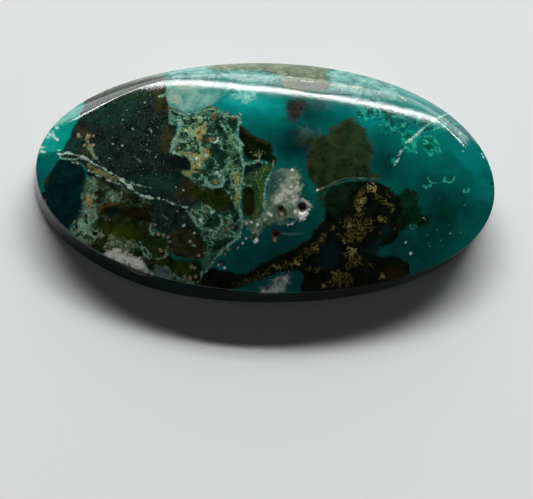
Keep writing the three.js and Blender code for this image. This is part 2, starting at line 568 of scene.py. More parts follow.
def store(name, values):
    """Keep one number for each point of the stone, and return a socket that reads it."""
    field = stone.data.attributes.new(name, "FLOAT", "POINT")
    field.data.foreach_set("value", values.astype(np.float32))
    return wire("ShaderNodeAttribute", {}, attribute_name=name).outputs["Fac"]


def lay(name, distance, dark, light, tone="mottle", fray=0.2, soft=0.07, cover=1.0):
    """Lay a mineral on top of the surface. Fray and softness are in mm, cover is a share or a texture."""
    sockets = {
        "Below": surface[-1],
        "Dark": (*dark, 1),
        "Light": (*light, 1),
        "Tone": textures[tone],
        "Distance": store(name, distance),
        "Ragged": textures["ragged"],
        "Fray": fray,
        "Softness": soft,
        "Cover": textures[cover] if isinstance(cover, str) else cover,
    }
    group = tree.nodes.new("ShaderNodeGroup")
    group.node_tree = layer_group
    group.label = name
    for socket, value in sockets.items():
        if isinstance(value, bpy.types.NodeSocket):
            tree.links.new(value, group.inputs[socket])
        else:
            group.inputs[socket].default_value = value
    masks[name] = group.outputs["Mask"]
    surface.append(group.outputs["Colour"])
    print(name, "covers", round(100 * float((distance[on_top] > 0).mean()), 1), "% of the top")


print(layer_group.name, "has", len(layer_group.nodes), "nodes")

# %% [markdown]
# ## The teal body
#
# The body of the stone is chalcedony coloured by chrysocolla, a clear blue-green silica. Its depth changes
# slowly, brighter where the clear stone is thick over a pale layer and nearly black where it is over dark
# rock. A see-through body with a volume in it could show this, but slowly and with noise in the render, and
# this stone is so dark that little light comes through. So the depth is painted: soft blobs give it, and a
# colour ramp turns it into teal. The blobs also paint light, a glow at the far right where the lamp shines
# in.

# %% Teal body
DEPTH = 0.5
CLOUD_SHARE = 0.14
MOTTLE_SHARE = 0.08

# Each blob is a place, a radius and how much deeper or less deep the teal is there.
# The blob at the far right is a painted glow of the lamp shining in through the rim. Several blobs on the
# near half make the teal darker towards the near side.
DEPTH_AND_GLOW_BLOBS = [
    (-1.4, 3.6, 1.2, 0.36),
    (0.2, 3.3, 1.1, 0.22),
    (0.2, 1.9, 0.9, -0.04),
    (1.3, 1.0, 1.0, -0.35),
    (2.9, 2.7, 1.1, -0.12),
    (4.9, 3.3, 1.4, 0.12),
    (6.1, 0.5, 1.2, -0.28),
    (8.1, -0.4, 1.3, -0.1),
    (9.5, -1.1, 1.1, -0.2),
    (7.4, -3.6, 1.8, -0.2),
    (9.3, -2.3, 0.9, -0.18),
    (9.4, 2.2, 1.6, 0.08),
    (10.9, 0.5, 1.4, 0.08),
    (-0.5, -5.0, 2.0, -0.16),
    (1.4, -4.2, 1.4, -0.22),
    (2.4, -2.6, 1.0, -0.18),
    (-11.2, 0.2, 0.8, 0.1),
    (7.5, 4.8, 2.5, 0.2),
]
depth = np.full(len(plan), DEPTH)
for blob_x, blob_y, blob_radius, blob_strength in DEPTH_AND_GLOW_BLOBS:
    from_blob = np.hypot(plan[:, 0] - blob_x, plan[:, 1] - blob_y)
    depth += blob_strength * np.exp(-((from_blob / blob_radius) ** 2))

clouded = {0: textures["cloud"], 1: CLOUD_SHARE, 2: store("depth", depth)}
stirred = wire("ShaderNodeMath", clouded, operation="MULTIPLY_ADD").outputs[0]
mottled = {0: textures["mottle"], 1: MOTTLE_SHARE, 2: stirred}
teal = wire("ShaderNodeValToRGB", {0: wire("ShaderNodeMath", mottled, operation="MULTIPLY_ADD").outputs[0]})
TEAL_STEPS = [
    (0.1, (0, 0.008, 0.010)),
    (0.35, (0, 0.040, 0.037)),
    (0.6, (0, 0.092, 0.078)),
    (0.85, (0, 0.175, 0.160)),
    (1.0, (0.004, 0.280, 0.240)),
]
ramp = teal.color_ramp.elements
while len(ramp) < len(TEAL_STEPS):
    ramp.new(0.5)
for element, (position, colour) in zip(ramp, TEAL_STEPS):
    element.position = position
    element.color = (*colour, 1)
surface.append(teal.outputs["Color"])
print("teal depth from", round(depth.min(), 2), "to", round(depth.max(), 2))

# %% [markdown]
# ## The bright tip and the dark cell at the left
#
# The left tip has a bright, milky teal with a sharp straight border, where one crystal layer ends against
# the next. Beside it lies a cell of stone so clear that it looks black. Sharp borders need a small fray and
# nearly no softness.

# %% Left end
TIP = [
    (-9.3, 4.1), (-9.45, 3.35), (-9.4, 3), (-9.55, 2.7), (-9.6, 2.3), (-9.85, 2), (-9.9, 1.5), (-10, 1.15),
    (-10.15, 0.9), (-10.25, 0.55), (-10.8, 0.58), (-11.5, 0.6), (-12.6, 0.55), (-12.4, 2), (-11, 4.4),
]
TIP_FROST = [
    (0.1, [(-11.15, 1.75), (-10.95, 1.6), (-10.8, 1.45), (-10.6, 1.25)]),
    (0.07, [(-10.95, 1.85), (-10.85, 1.65), (-10.75, 1.5)]),
    (0.08, [(-11.2, 1.55), (-11.05, 1.45)]),
    (0.09, [(-10.8, 2.1), (-10.65, 2)]),
    (0.06, [(-10.5, 2.3), (-10.4, 2.2)]),
    (0.12, [(-11.45, 0.95), (-11.25, 0.9)]),
    (0.12, [(-11.4, 0.72), (-11.2, 0.62)]),
    (0.06, [(-10.5, 0.65), (-10.4, 0.62)]),
]
CELL = [
    (-10.35, 0.12), (-9.5, 0), (-9.3, -0.1), (-9.05, -0.45), (-8.9, -0.9), (-9, -1.6), (-9.05, -2.2),
    (-9, -2.6), (-9.15, -3), (-9.5, -3.3), (-9.9, -3.8), (-10.6, -4.6), (-12.2, -3.2), (-11.7, -1.9),
    (-10.95, -1.55), (-11.1, -1.3), (-11.05, -0.95), (-10.85, -0.7), (-10.65, -0.4), (-10.5, 0),
]
lay("bright_tip", inside(TIP), (0, 0.19, 0.15), (0.001, 0.29, 0.225), fray=0.08, soft=0.1)
TIP_MIST_FROM = -10.8
tip_mist = np.minimum(inside(TIP), TIP_MIST_FROM - plan[:, 0])
lay("tip_mist", tip_mist, (0, 0.27, 0.21), (0.03, 0.4, 0.33), "grain", 0.4, 0.8, "patches")
lay("tip_frost", drawn(TIP_FROST), (0.3, 0.62, 0.56), (0.75, 0.9, 0.86), "grain", 0.1, 0.08, 0.85)
lay("dark_cell", inside(CELL), (0, 0.007, 0.007), (0.001, 0.02, 0.019), fray=0.1, soft=0.12)
RIM_SPOT = [(-11, -1, 0.13), (-10.85, -0.75, 0.08)]
lay("rim_spot", dots(RIM_SPOT), (0.02, 0.03, 0.01), (0.06, 0.06, 0.02), fray=0.15, soft=0.25, cover=0.8)

# %% [markdown]
# ## Clouded quartz
#
# Milky quartz fills the gaps between the copper minerals. It is a mist and has no firm outline, so its edge
# is wide and soft, and in places a patchy texture breaks up its cover. A noise alone would put the mist
# anywhere, so each cloud of it still has its own outline. Small hard white grains are dotted over it.

# %% Quartz
MIST_LEFT = [
    (-5.3, 4.5), (-4.6, 4.5), (-3.8, 4.5), (-3.1, 4.7), (-2.5, 4.6), (-2.2, 4), (-2.7, 3.4), (-3.1, 3.2),
    (-3.3, 2.9), (-3.8, 2.7), (-4, 2.5), (-4.6, 2.9), (-5, 3.1), (-5.2, 3.3), (-5.35, 3.8),
]
MIST_LEFT_HEART = [(-5, 4.2), (-4.2, 4.3), (-3.5, 4.2), (-3.5, 3.6), (-3.9, 3.3), (-4.6, 3.3), (-5, 3.6)]
MIST_RIGHT = [
    (0.45, -0.5), (0.9, -0.4), (1.3, -0.3), (1.65, -0.3), (1.85, -0.6), (1.95, -1), (1.75, -1.4),
    (1.9, -1.8), (2.1, -2), (2.35, -2.1), (2.35, -2.4), (2.2, -2.7), (2, -2.9), (1.8, -2.75), (1.5, -2.75),
    (1.2, -3), (0.8, -3.2), (0.3, -3.2), (0, -3.3), (-0.1, -3.7), (-0.3, -3.9), (-0.45, -3.6), (-0.6, -3.4),
    (-0.9, -3.4), (-0.95, -3), (-0.4, -3), (0, -2.8), (0.1, -2.4), (0.2, -1.9), (0.3, -1.3), (0.3, -0.9),
]
MIST_DARK = [
    (0.35, -0.5), (0.8, -0.5), (1.15, -0.75), (0.9, -1), (0.8, -1.4), (0.5, -1.7), (0.25, -1.9),
    (0.2, -1.2),
]
MIST_BRIGHT = [
    (1.2, -0.8), (1.6, -0.6), (1.8, -1), (1.7, -1.5), (2, -1.9), (2.3, -2.1), (2.35, -2.5), (2, -2.85),
    (1.7, -2.6), (1.7, -2.1), (1.3, -2), (0.8, -2.2), (0.5, -2.1), (0.7, -1.7), (0.9, -1.2),
]
TRAIL_LEFT = [
    (-0.9, -3.1), (-0.3, -3.1), (0.05, -3.2), (-0.05, -3.8), (-0.3, -4.2), (-0.7, -4.4), (-1.1, -4.3),
    (-1, -3.9),
]
WISPS = [(-2.1, 4), (-1.6, 3.5), (-1, 3.4), (-0.6, 3.8), (-0.7, 4.4), (-1.4, 4.5), (-2.1, 4.5)]
# The left cloud is quartz, and its light colour also holds a painted reflection haze from the highlight on
# the crest.
lay("mist_left", inside(MIST_LEFT), (0.035, 0.2, 0.165), (0.2, 0.38, 0.31), fray=0.5, soft=0.6, cover=0.9)
lay(
    "mist_left_heart", inside(MIST_LEFT_HEART), (0.14, 0.22, 0.17), (0.34, 0.4, 0.33), "grain", 0.5, 0.6,
    "patches",
)
lay("mist_right", inside(MIST_RIGHT), (0.035, 0.09, 0.06), (0.2, 0.26, 0.18), fray=0.6, soft=0.3)
lay("mist_dark", inside(MIST_DARK), (0.012, 0.06, 0.055), (0.05, 0.11, 0.09), fray=0.3, soft=0.3)
lay("mist_bright", inside(MIST_BRIGHT), (0.1, 0.15, 0.09), (0.6, 0.64, 0.55), "mottle", 0.8, 0.3, 0.8)
lay("trail", inside(TRAIL_LEFT), (0.1, 0.2, 0.19), (0.55, 0.66, 0.64), "grain", 0.5, 0.2, "flecks")
lay("wisps", inside(WISPS), (0.06, 0.34, 0.3), (0.3, 0.55, 0.5), "grain", 0.6, 0.5, "patches")
MIST_GRAINS = [
    (1.95, -2.72, 0.16), (2.15, -2.6, 0.13), (2.3, -2.35, 0.08), (1.65, -2.5, 0.09), (1.72, -1.02, 0.06),
    (1.42, -0.35, 0.08), (1.4, -1.25, 0.06), (1.5, -1.75, 0.07), (-0.26, -4.03, 0.12), (-0.22, -3.25, 0.06),
    (-0.5, -3.15, 0.05), (0.15, -3, 0.06), (-0.75, -3.2, 0.05), (-1.9, -5.25, 0.08), (-2.05, -5.3, 0.04),
    (0.45, -2.75, 0.08), (0.3, -2.65, 0.07), (0.45, -1.95, 0.05), (-1.15, -4.42, 0.04), (1.5, -3.1, 0.06),
    (1.3, -3.2, 0.05), (-0.9, -4.2, 0.03), (-0.75, -3.95, 0.03), (-1.75, -5.4, 0.04),
]
lay("quartz_grains", dots(MIST_GRAINS), (0.35, 0.46, 0.4), (0.9, 0.94, 0.9), "grain", 0.1, 0.1)
PALE_LINES = [
    (0.08, [(0.95, -3.62), (1.3, -3.65), (1.7, -3.63), (2.05, -3.6)]),
    (0.1, [(1.1, -3.15), (1.5, -3.05), (1.75, -2.9)]),
]
lay("pale_lines", drawn(PALE_LINES), (0.02, 0.11, 0.1), (0.1, 0.2, 0.18), "grain", 0.1, 0.12, 0.8)

# %% [markdown]
# ## The dark matrix
#
# Most of the left half is the host rock, a dark mix of copper and iron minerals. It isn't flat black: teal
# shows through in places, brown in others, and the polish brings out a pale grain like frost. One layer
# with a noise in its colour could do all of this, but the stains would then fall anywhere. So the rock is
# one outline, and each stain is a second, softer outline laid over it.

# %% Matrix
MATRIX = [
    (-9.45, 3.4), (-9.3, 4.3), (-8.4, 5.2), (-5.9, 6.2), (-5.3, 4.6), (-5.2, 4.2), (-5.1, 3.2), (-4.6, 2.6),
    (-4.4, 0.3), (-3.6, 0.1), (-3.7, -0.8), (-3, -1.6), (-2.9, -2.5), (-3.5, -2.7), (-3.2, -3.3),
    (-2.9, -4), (-2.5, -4.6), (-2.6, -5), (-4.4, -5), (-4.6, -4.2), (-4.7, -3.9), (-5.4, -3.6),
    (-5.6, -3.3), (-5.5, -2.7), (-6, -2.5), (-7.5, -2.3), (-7.9, -2), (-8.2, -1.2), (-8.9, -0.9),
    (-8.9, -0.5), (-9.3, -0.1), (-9.6, 0), (-10.3, 0.2), (-10.2, 0.55), (-10.1, 0.9), (-9.95, 1.15),
    (-9.9, 1.5), (-9.8, 2), (-9.6, 2.3), (-9.55, 2.7), (-9.4, 3),
]
MATRIX_TEAL = [
    [(-10.1, 1), (-9.5, 1.2), (-9.1, 0.9), (-8.9, 0.4), (-9.4, 0.3), (-10.2, 0.6)],
    [(-9.3, 3.3), (-8.3, 3.2), (-6.9, 3.4), (-6.6, 2.9), (-7.2, 2.2), (-8.6, 2.2), (-9.3, 2.4)],
    [(-7.7, -1.5), (-6.6, -1.7), (-5.2, -1.9), (-4, -1.6), (-4, -0.9), (-5, -0.7), (-6.2, -1), (-7.2, -1.2)],
]
MATRIX_GREEN = [(-9.2, 3.6), (-8.7, 4.2), (-7.4, 4.3), (-6.4, 4.4), (-6.2, 3.7), (-7, 3.3), (-8.2, 3.3)]
MATRIX_BROWN = [
    [(-5.9, 4.4), (-5.2, 4.3), (-5.2, 3.4), (-5, 2.9), (-5.4, 2.6), (-5.7, 3)],
    [(-5, 1.9), (-4.75, 1.6), (-4.75, 1), (-4.7, 0.4), (-5.2, 0.3), (-5.4, 0.8), (-5.2, 1.5)],
    [(-9.7, 2), (-9.3, 2), (-8.9, 1.8), (-9.1, 1.4), (-9.5, 1.5)],
    [(-9.2, 0.8), (-8.9, 0.8), (-8.9, 0.3), (-9.15, 0.3)],
    [(-4.6, -3.6), (-3.6, -3.6), (-2.8, -4.2), (-2.6, -5), (-3.6, -5.1), (-4.4, -4.7)],
    [(-4.2, -1.2), (-3.3, -1.1), (-3, -1.9), (-3.6, -2.2), (-4.4, -1.9)],
]
FROST_INSET = 0.3
in_matrix = inside(MATRIX)
lay("matrix", in_matrix, (0.001, 0.005, 0.004), (0.008, 0.024, 0.018), fray=0.2, soft=0.1)
lay(
    "matrix_teal", outlined(MATRIX_TEAL), (0.001, 0.014, 0.01), (0.007, 0.042, 0.03), fray=0.5, soft=0.5,
    cover=0.85,
)
lay("matrix_grit", in_matrix, (0.01, 0.016, 0.014), (0.05, 0.06, 0.055), "grain", 0.2, 0.3, "grit")
lay(
    "matrix_frost", in_matrix - FROST_INSET, (0.03, 0.05, 0.05), (0.16, 0.2, 0.2), "grain", 0.5, 0.3,
    "flecks",
)
lay(
    "matrix_green", inside(MATRIX_GREEN), (0.001, 0.012, 0.003), (0.006, 0.032, 0.01), fray=0.7, soft=0.6,
    cover=0.8,
)
lay(
    "matrix_brown", outlined(MATRIX_BROWN), (0.006, 0.01, 0.002), (0.045, 0.038, 0.012), fray=0.5,
    soft=0.35, cover=0.85,
)
MATRIX_SPECKS = [
    (-6.72, 1.75, 0.07), (-6.66, 1.72, 0.05), (-5.8, 1.66, 0.05), (-5.77, 1.52, 0.03), (-7.7, 0.9, 0.04),
    (-7.22, 0.78, 0.05), (-7.5, 0.65, 0.04), (-7.8, 0.1, 0.05), (-5.35, -0.8, 0.05), (-6.35, 0.03, 0.04),
    (-6.2, -0.1, 0.03), (-6, 2.7, 0.03), (-7.3, 2.3, 0.03), (-6.23, 3.35, 0.04), (-5.45, 0.15, 0.03),
    (-4.93, -0.1, 0.04), (-6.1, -0.85, 0.03), (-6.76, 0.05, 0.04), (-5.95, 0.82, 0.03),
    (-4.35, -1.45, 0.04), (-3.95, -1.6, 0.04), (-5.9, -1, 0.03), (-5.75, 0.45, 0.03), (-5.55, 0.85, 0.03),
    (-4.3, -2.9, 0.03), (-5.3, -2.55, 0.03), (-4.2, -2.7, 0.03), (-3.85, -3.42, 0.06), (-3.5, -4.2, 0.07),
    (-3.35, -4.38, 0.06), (-3.3, -3.75, 0.05), (-3.55, -3.65, 0.04), (-3.02, -4.85, 0.05),
    (-3, -5.38, 0.05), (-2.75, -4.1, 0.07), (-2.7, -3.85, 0.08), (-3.25, -4.4, 0.04), (-8.35, -2.05, 0.05),
    (-8, -2.3, 0.04),
]
lay("matrix_specks", dots(MATRIX_SPECKS), (0.12, 0.18, 0.17), (0.5, 0.58, 0.55), "grain", 0.12, 0.06, 0.85)
FROST_LINES = [
    (0.04, [(-6.55, 0.2), (-6.4, 0.05), (-6.15, -0.15)]),
    (0.03, [(-5.95, 0.55), (-5.65, 0.4)]),
    (0.03, [(-5.75, -0.15), (-5.5, -0.25)]),
    (0.03, [(-6.3, 0.9), (-6.15, 0.7)]),
    (0.04, [(-8.75, -0.05), (-8.45, 0.15)]),
    (0.03, [(-4.95, -2.9), (-4.6, -3.1), (-4.8, -3.4)]),
]
lay("frost_lines", drawn(FROST_LINES), (0.08, 0.11, 0.1), (0.3, 0.34, 0.32), "grain", 0.06, 0.06, 0.8)
NOTCH = [
    (-5, 0.1), (-4.4, 0.2), (-3.9, 0.18), (-3.7, -0.05), (-3.68, -0.5), (-4, -0.55), (-4.5, -0.4),
    (-5, -0.1),
]
lay("notch", inside(NOTCH), (0.001, 0.002, 0.004), (0.006, 0.008, 0.009), "grain", 0.15, 0.3, 0.9)

# %% [markdown]
# ## Olive glass and green hollows
#
# Below the matrix the stone is a clear olive, and beside it is a hollow full of dark green. Both are deep
# and have no grain of their own, so their two colours differ mostly in light and dark. A dark bed goes
# under the whole corner, because no clear teal is left between its veins, and pale silt and crumbs lie
# along the edges.

# %% Olive and green
CORNER = [
    (-8.9, -0.9), (-8, -1), (-7, -1.5), (-5.6, -2.1), (-5.3, -2.8), (-5.4, -3.6), (-4.7, -3.9),
    (-4.4, -4.8), (-4.5, -5.6), (-5.6, -5.6), (-7.2, -5), (-8.6, -4.5), (-9.6, -3.8), (-9.3, -3.2),
    (-9, -2.6), (-9.1, -1.9),
]
OLIVE_GLASS = [
    (-8.1, -3.2), (-7.5, -3.1), (-7, -3), (-6.3, -3.3), (-5.6, -3.4), (-5.6, -4), (-6.1, -4.4),
    (-7.2, -4.5), (-7.8, -4.7), (-8.5, -4.4), (-8.4, -3.7),
]
OLIVE_CORE = [(-7.5, -3.4), (-7, -3.35), (-6.4, -3.6), (-6, -4.1), (-6.6, -4.3), (-7.5, -4.2), (-7.8, -3.8)]
PALE_SILT = [
    [(-8.7, -3.9), (-8.2, -3.6), (-7.9, -3.5), (-7.8, -3.9), (-8, -4.2), (-8.5, -4.35)],
    [(-7.6, -4.2), (-7.3, -3.85), (-7.1, -4.1), (-6.3, -4.3), (-6, -4.5), (-6.6, -4.7), (-7.4, -4.6),
     (-7.8, -4.5)],
]
BROWN_CORE = [
    (-8.1, -2.4), (-7.2, -2.4), (-6, -2.5), (-5.5, -2.7), (-5.5, -3.4), (-6.2, -3.2), (-7.2, -2.95),
    (-8.1, -2.9),
]
ORANGE_RIM = [(-8.2, -2.9), (-8.1, -2.5), (-7.6, -2.4), (-7.2, -2.3)]
DARK_EYE = [(-7.85, -2.75), (-7.5, -2.5), (-7.05, -2.55), (-7.1, -2.85), (-7.5, -3)]
GREEN_HOLLOW = [
    (-5.6, -4), (-5.2, -3.95), (-4.7, -4.1), (-4.5, -5), (-3.8, -5.1), (-2.9, -5.2), (-2.75, -5.7),
    (-2.9, -6.4), (-4.2, -6.3), (-4.7, -5.6), (-5.3, -5.3), (-5.8, -4.8), (-5.9, -4.3),
]
HOLLOW_CRUMBS = [(-5.6, -4.1), (-4.7, -4.1), (-4.3, -4.7), (-4.5, -5.2), (-5.2, -5.2), (-5.7, -4.7)]
in_corner = inside(CORNER)
lay("corner", in_corner, (0.002, 0.006, 0.002), (0.025, 0.035, 0.012), fray=0.2, soft=0.12)
lay("corner_grit", in_corner, (0.01, 0.03, 0.015), (0.12, 0.2, 0.13), "grain", 0.2, 0.3, "tangle")
lay("brown_core", inside(BROWN_CORE), (0.003, 0.004, 0.001), (0.014, 0.012, 0.001), fray=0.3, soft=0.3)
lay("dark_eye", inside(DARK_EYE), (0.001, 0.006, 0.003), (0.003, 0.014, 0.01), fray=0.15, soft=0.2)
lay(
    "orange_rim", along(ORANGE_RIM, 0.12), (0.04, 0.02, 0.003), (0.16, 0.09, 0.015), "grain", 0.2, 0.15,
    0.7,
)
lay("olive_glass", inside(OLIVE_GLASS), (0.006, 0.01, 0.001), (0.02, 0.03, 0.003), fray=0.4, soft=0.4)
lay(
    "hollow_crumbs", inside(HOLLOW_CRUMBS), (0.01, 0.03, 0.01), (0.12, 0.2, 0.13), "grain", 0.5, 0.3,
    "tangle",
)
lay(
    "olive_core", inside(OLIVE_CORE), (0.018, 0.028, 0.002), (0.04, 0.055, 0.004), fray=0.5, soft=0.6,
    cover=0.85,
)
lay("pale_silt", outlined(PALE_SILT), (0.04, 0.07, 0.025), (0.26, 0.32, 0.2), "grain", 0.5, 0.3, "patches")
lay("green_hollow", inside(GREEN_HOLLOW), (0.001, 0.006, 0.0005), (0.022, 0.04, 0.005), fray=0.2, soft=0.15)

# %% [markdown]
# ## The breccia
#
# The palest and busiest part was shattered and healed: dark green splinters in a web of pale blue-green
# veins, with rusty stains of iron. It has far too many pieces to draw them all. A texture of shards gives
# each small piece its own tone, tangled lines run between them, and only the splinters big enough to be
# seen one by one are drawn on top.

# %% Breccia ground
BRECCIA = [
    (-4.95, 2.8), (-4.9, 2.95), (-4.6, 2.85), (-4.2, 2.6), (-4, 2.55), (-3.7, 2.65), (-3.4, 2.75),
    (-3.1, 2.95), (-2.9, 3.1), (-2.6, 3.05), (-2.4, 2.85), (-2.1, 2.85), (-1.9, 2.7), (-1.6, 2.6),
    (-1.3, 2.7), (-1.35, 2.2), (-1.4, 1.6), (-1.45, 1.2), (-1.25, 1.05), (-1.1, 0.9), (-1.15, 0.5),
    (-1.05, 0.1), (-1, -0.3), (-1.05, -0.8), (-1.1, -1.3), (-1.1, -1.8), (-1.15, -2.5), (-1, -3),
    (-1, -3.5), (-1.1, -3.9), (-1.4, -4.2), (-1.8, -4.5), (-2.2, -5), (-2.4, -5.3), (-2.65, -5.6),
    (-2.9, -5.1), (-2.6, -4.7), (-2.9, -4), (-3.2, -3.3), (-3.8, -2.8), (-3.4, -2.4), (-3, -2), (-3, -1.6),
    (-3.7, -0.9), (-4.15, -0.75), (-4.1, -0.6), (-3.7, -0.55), (-3.65, -0.3), (-3.7, 0.05), (-3.9, 0.2),
    (-4.3, 0.3), (-4.6, 0.35), (-4.75, 0.5), (-4.7, 0.9), (-4.6, 1.2), (-4.45, 1.6), (-4.35, 2), (-4.9, 2),
    (-5, 2.2),
]
PALE_BLOCK = [
    (-4.7, 0.4), (-4.65, 1), (-4.4, 1.7), (-4.3, 2.4), (-3.9, 2.5), (-3.3, 2.5), (-2.8, 2.6), (-2.8, 1.7),
    (-3.1, 1.2), (-2.9, 0.7), (-2.8, 0.2), (-3, -0.4), (-3.6, -0.4), (-3.7, 0.1), (-4.2, 0.3),
]
PALE_BAND = [
    (-1.9, 1.7), (-1.5, 1.4), (-1.15, 1), (-1.1, 0), (-1.1, -1.2), (-1.15, -2.4), (-1.45, -2.4),
    (-1.5, -1.2), (-1.75, -0.8), (-1.95, 0.2), (-1.9, 1),
]
GREEN_COLUMN = [
    (-2.75, 2), (-2.3, 2.3), (-1.95, 2.3), (-1.5, 2.4), (-1.5, 1.8), (-1.95, 1.5), (-1.95, 0.6), (-2, -0.5),
    (-2.6, -0.6), (-2.75, 0.2), (-2.85, 1),
]
BROWN_SPLINTERS = [
    (-3.5, -1.3), (-2.7, -1.5), (-1.9, -1.5), (-1.5, -1.4), (-1.5, -2.6), (-2.2, -2.7), (-3, -2.4),
    (-3.4, -1.9),
]
HOLES_INSET = 0.15
in_breccia = inside(BRECCIA)
lay("breccia", in_breccia, (0.003, 0.018, 0.008), (0.04, 0.11, 0.065), "shards", 0.2, 0.08)
lay("pale_block", inside(PALE_BLOCK), (0.03, 0.1, 0.045), (0.22, 0.3, 0.14), "chips", 0.4, 0.2, 0.9)
lay(
    "green_column", inside(GREEN_COLUMN), (0.001, 0.014, 0.006), (0.01, 0.05, 0.026), fray=0.4, soft=0.3,
    cover=0.85,
)
lay("pale_band", inside(PALE_BAND), (0.02, 0.07, 0.02), (0.17, 0.26, 0.11), "grain", 0.3, 0.2, "patches")
lay(
    "breccia_holes", in_breccia - HOLES_INSET, (0.001, 0.012, 0.006), (0.012, 0.05, 0.028), "mottle", 0.3,
    0.2, "holes",
)
lay("breccia_tangle", in_breccia, (0.03, 0.15, 0.09), (0.26, 0.52, 0.38), "grain", 0.1, 0.15, "tangle")
lay(
    "brown_splinters", inside(BROWN_SPLINTERS), (0.002, 0.008, 0.001), (0.022, 0.034, 0.005), "chips", 0.5,
    0.3,
)

# %% Splinters
OCHRE = [
    [(-4.4, 0.42), (-3.9, 0.5), (-3.5, 0.4), (-3.2, 0.3), (-3.1, -0.1), (-3.2, -0.5), (-3.6, -0.6),
     (-3.62, 0.1), (-4.2, 0.28)],
    [(-3.5, 1.1), (-3.45, 1.8), (-3.1, 1.9), (-3.05, 1.3), (-3.2, 0.9)],
    [(-4.1, -0.6), (-3.4, -0.55), (-3, -0.6), (-3.6, -0.8), (-4.1, -0.8)],
    [(-1.45, -0.6), (-1.15, -0.7), (-1.15, -2.3), (-1.4, -2.4), (-1.35, -1.6), (-1.5, -1)],
    [(-3.1, 0.1), (-2.85, 0.6), (-2.75, 0.4), (-2.9, 0)],
]
DARK_SPLINTERS = [
    [(-3.2, 1.4), (-2.85, 1.5), (-2.7, 1), (-2.95, 0.9), (-3.25, 1.1)],
    [(-3.3, 0.95), (-3, 0.85), (-2.85, 0.65), (-3.2, 0.75)],
    [(-2.75, 0.95), (-2.4, 0.95), (-2.1, 0.75), (-2.15, 0.5), (-2.7, 0.55)],
    [(-2.35, 2.3), (-2.15, 2), (-1.95, 1.4), (-2, 0.6), (-2.15, 1.2), (-2.4, 1.8)],
    [(-1.95, 2.35), (-1.4, 2.4), (-1.45, 1.7), (-1.7, 1.7), (-1.85, 2)],
    [(-2.4, 0.3), (-2, 0.4), (-1.95, -0.4), (-2.3, -0.5)],
    [(-3.6, -0.75), (-3.1, -0.6), (-3.2, -0.9), (-3.5, -0.95)],
    [(-2.95, -0.3), (-2.6, 0), (-2.5, -0.4), (-2.9, -0.6)],
    [(-2.6, -3), (-2.2, -3), (-2.15, -3.4), (-2.6, -3.5), (-2.85, -3.3)],
    [(-2.3, -2.75), (-2.1, -2.9), (-2.15, -3.5), (-2.4, -3.2)],
    [(-4.35, 2.5), (-4.2, 2.55), (-4.15, 2.1), (-4.35, 2.1)],
    [(-3.8, 2.35), (-3.55, 2.4), (-3.5, 2.1), (-3.75, 2.05)],
    [(-2.6, 2.4), (-2.35, 2.5), (-2.3, 2), (-2.6, 1.9)],
    [(-3.7, 0.75), (-3.5, 0.75), (-3.5, 0.6), (-3.7, 0.58)],
    [(-1.6, -3.9), (-1.3, -3.9), (-1.6, -4.3), (-2.2, -4.7), (-2.5, -4.6), (-2.2, -4.1)],
]
SPLINTER_BROWN = [
    [(-1.75, 2.5), (-1.55, 2.55), (-1.55, 2.35), (-1.75, 2.35)],
    [(-2.85, 2.7), (-2.5, 2.7), (-2.5, 2.3), (-2.8, 2.3)],
]
RUST = [
    (-3.28, 1.55, 0.16), (-3.2, 1.3, 0.12), (-2.75, 1.12, 0.14), (-2.58, 1.18, 0.09), (-2.88, 0.5, 0.11),
    (-4.32, 0.68, 0.1), (-3.05, 1.98, 0.09), (-3.95, 2.1, 0.06), (-2.4, -1.1, 0.12), (-2.9, -2.45, 0.08),
    (-2.75, -2.7, 0.08), (-4, -0.65, 0.1), (-1.6, -3.2, 0.07), (-1.75, -3.55, 0.07), (-1.95, -3.7, 0.06),
    (-1.45, -3.45, 0.06),
]
WHITE_CHIPS = [
    (-2.42, 1.1, 0.09), (-2.38, 1.25, 0.07), (-2.5, 1.02, 0.06), (-2.95, 0.28, 0.06), (-3.4, 0.1, 0.07),
    (-3.55, 0.2, 0.05), (-4, 1.65, 0.06), (-2.35, -0.65, 0.08), (-2.2, -0.8, 0.06), (-2.2, 0.7, 0.06),
    (-2.1, -1.35, 0.06), (-3.03, -3.1, 0.07), (-2.98, -3.2, 0.05), (-3.25, -0.25, 0.06),
    (-1.95, -3.3, 0.05), (-2.5, -2.7, 0.07), (-3.4, 2.4, 0.05), (-1.9, -3.5, 0.04),
]
lay("ochre", outlined(OCHRE), (0.07, 0.1, 0.02), (0.38, 0.36, 0.13), "grain", 0.35, 0.15, 0.85)
lay(
    "dark_splinters", outlined(DARK_SPLINTERS), (0.001, 0.012, 0.007), (0.008, 0.04, 0.022), fray=0.15,
    soft=0.08, cover=0.92,
)
lay(
    "brown_chips", outlined(SPLINTER_BROWN), (0.03, 0.02, 0.006), (0.16, 0.12, 0.05), "grain", 0.15, 0.1,
    0.8,
)
lay("rust", dots(RUST), (0.07, 0.05, 0.015), (0.38, 0.26, 0.11), "grain", 0.2, 0.12, 0.85)
lay("white_chips", dots(WHITE_CHIPS), (0.3, 0.45, 0.38), (0.75, 0.84, 0.76), "grain", 0.1, 0.08, 0.9)

# %% [markdown]
# ## The dark cap and the green block
#
# To the right of the breccia are two dark blocks with brown rims, one above the other. The upper one has a
# fan of gold needles at its foot, and the lower one has the fine streaks of fibrous malachite. A noise
# stretched in one direction gives streaks that all run the same way. These fan out and bend, so each is a
# line of its own.

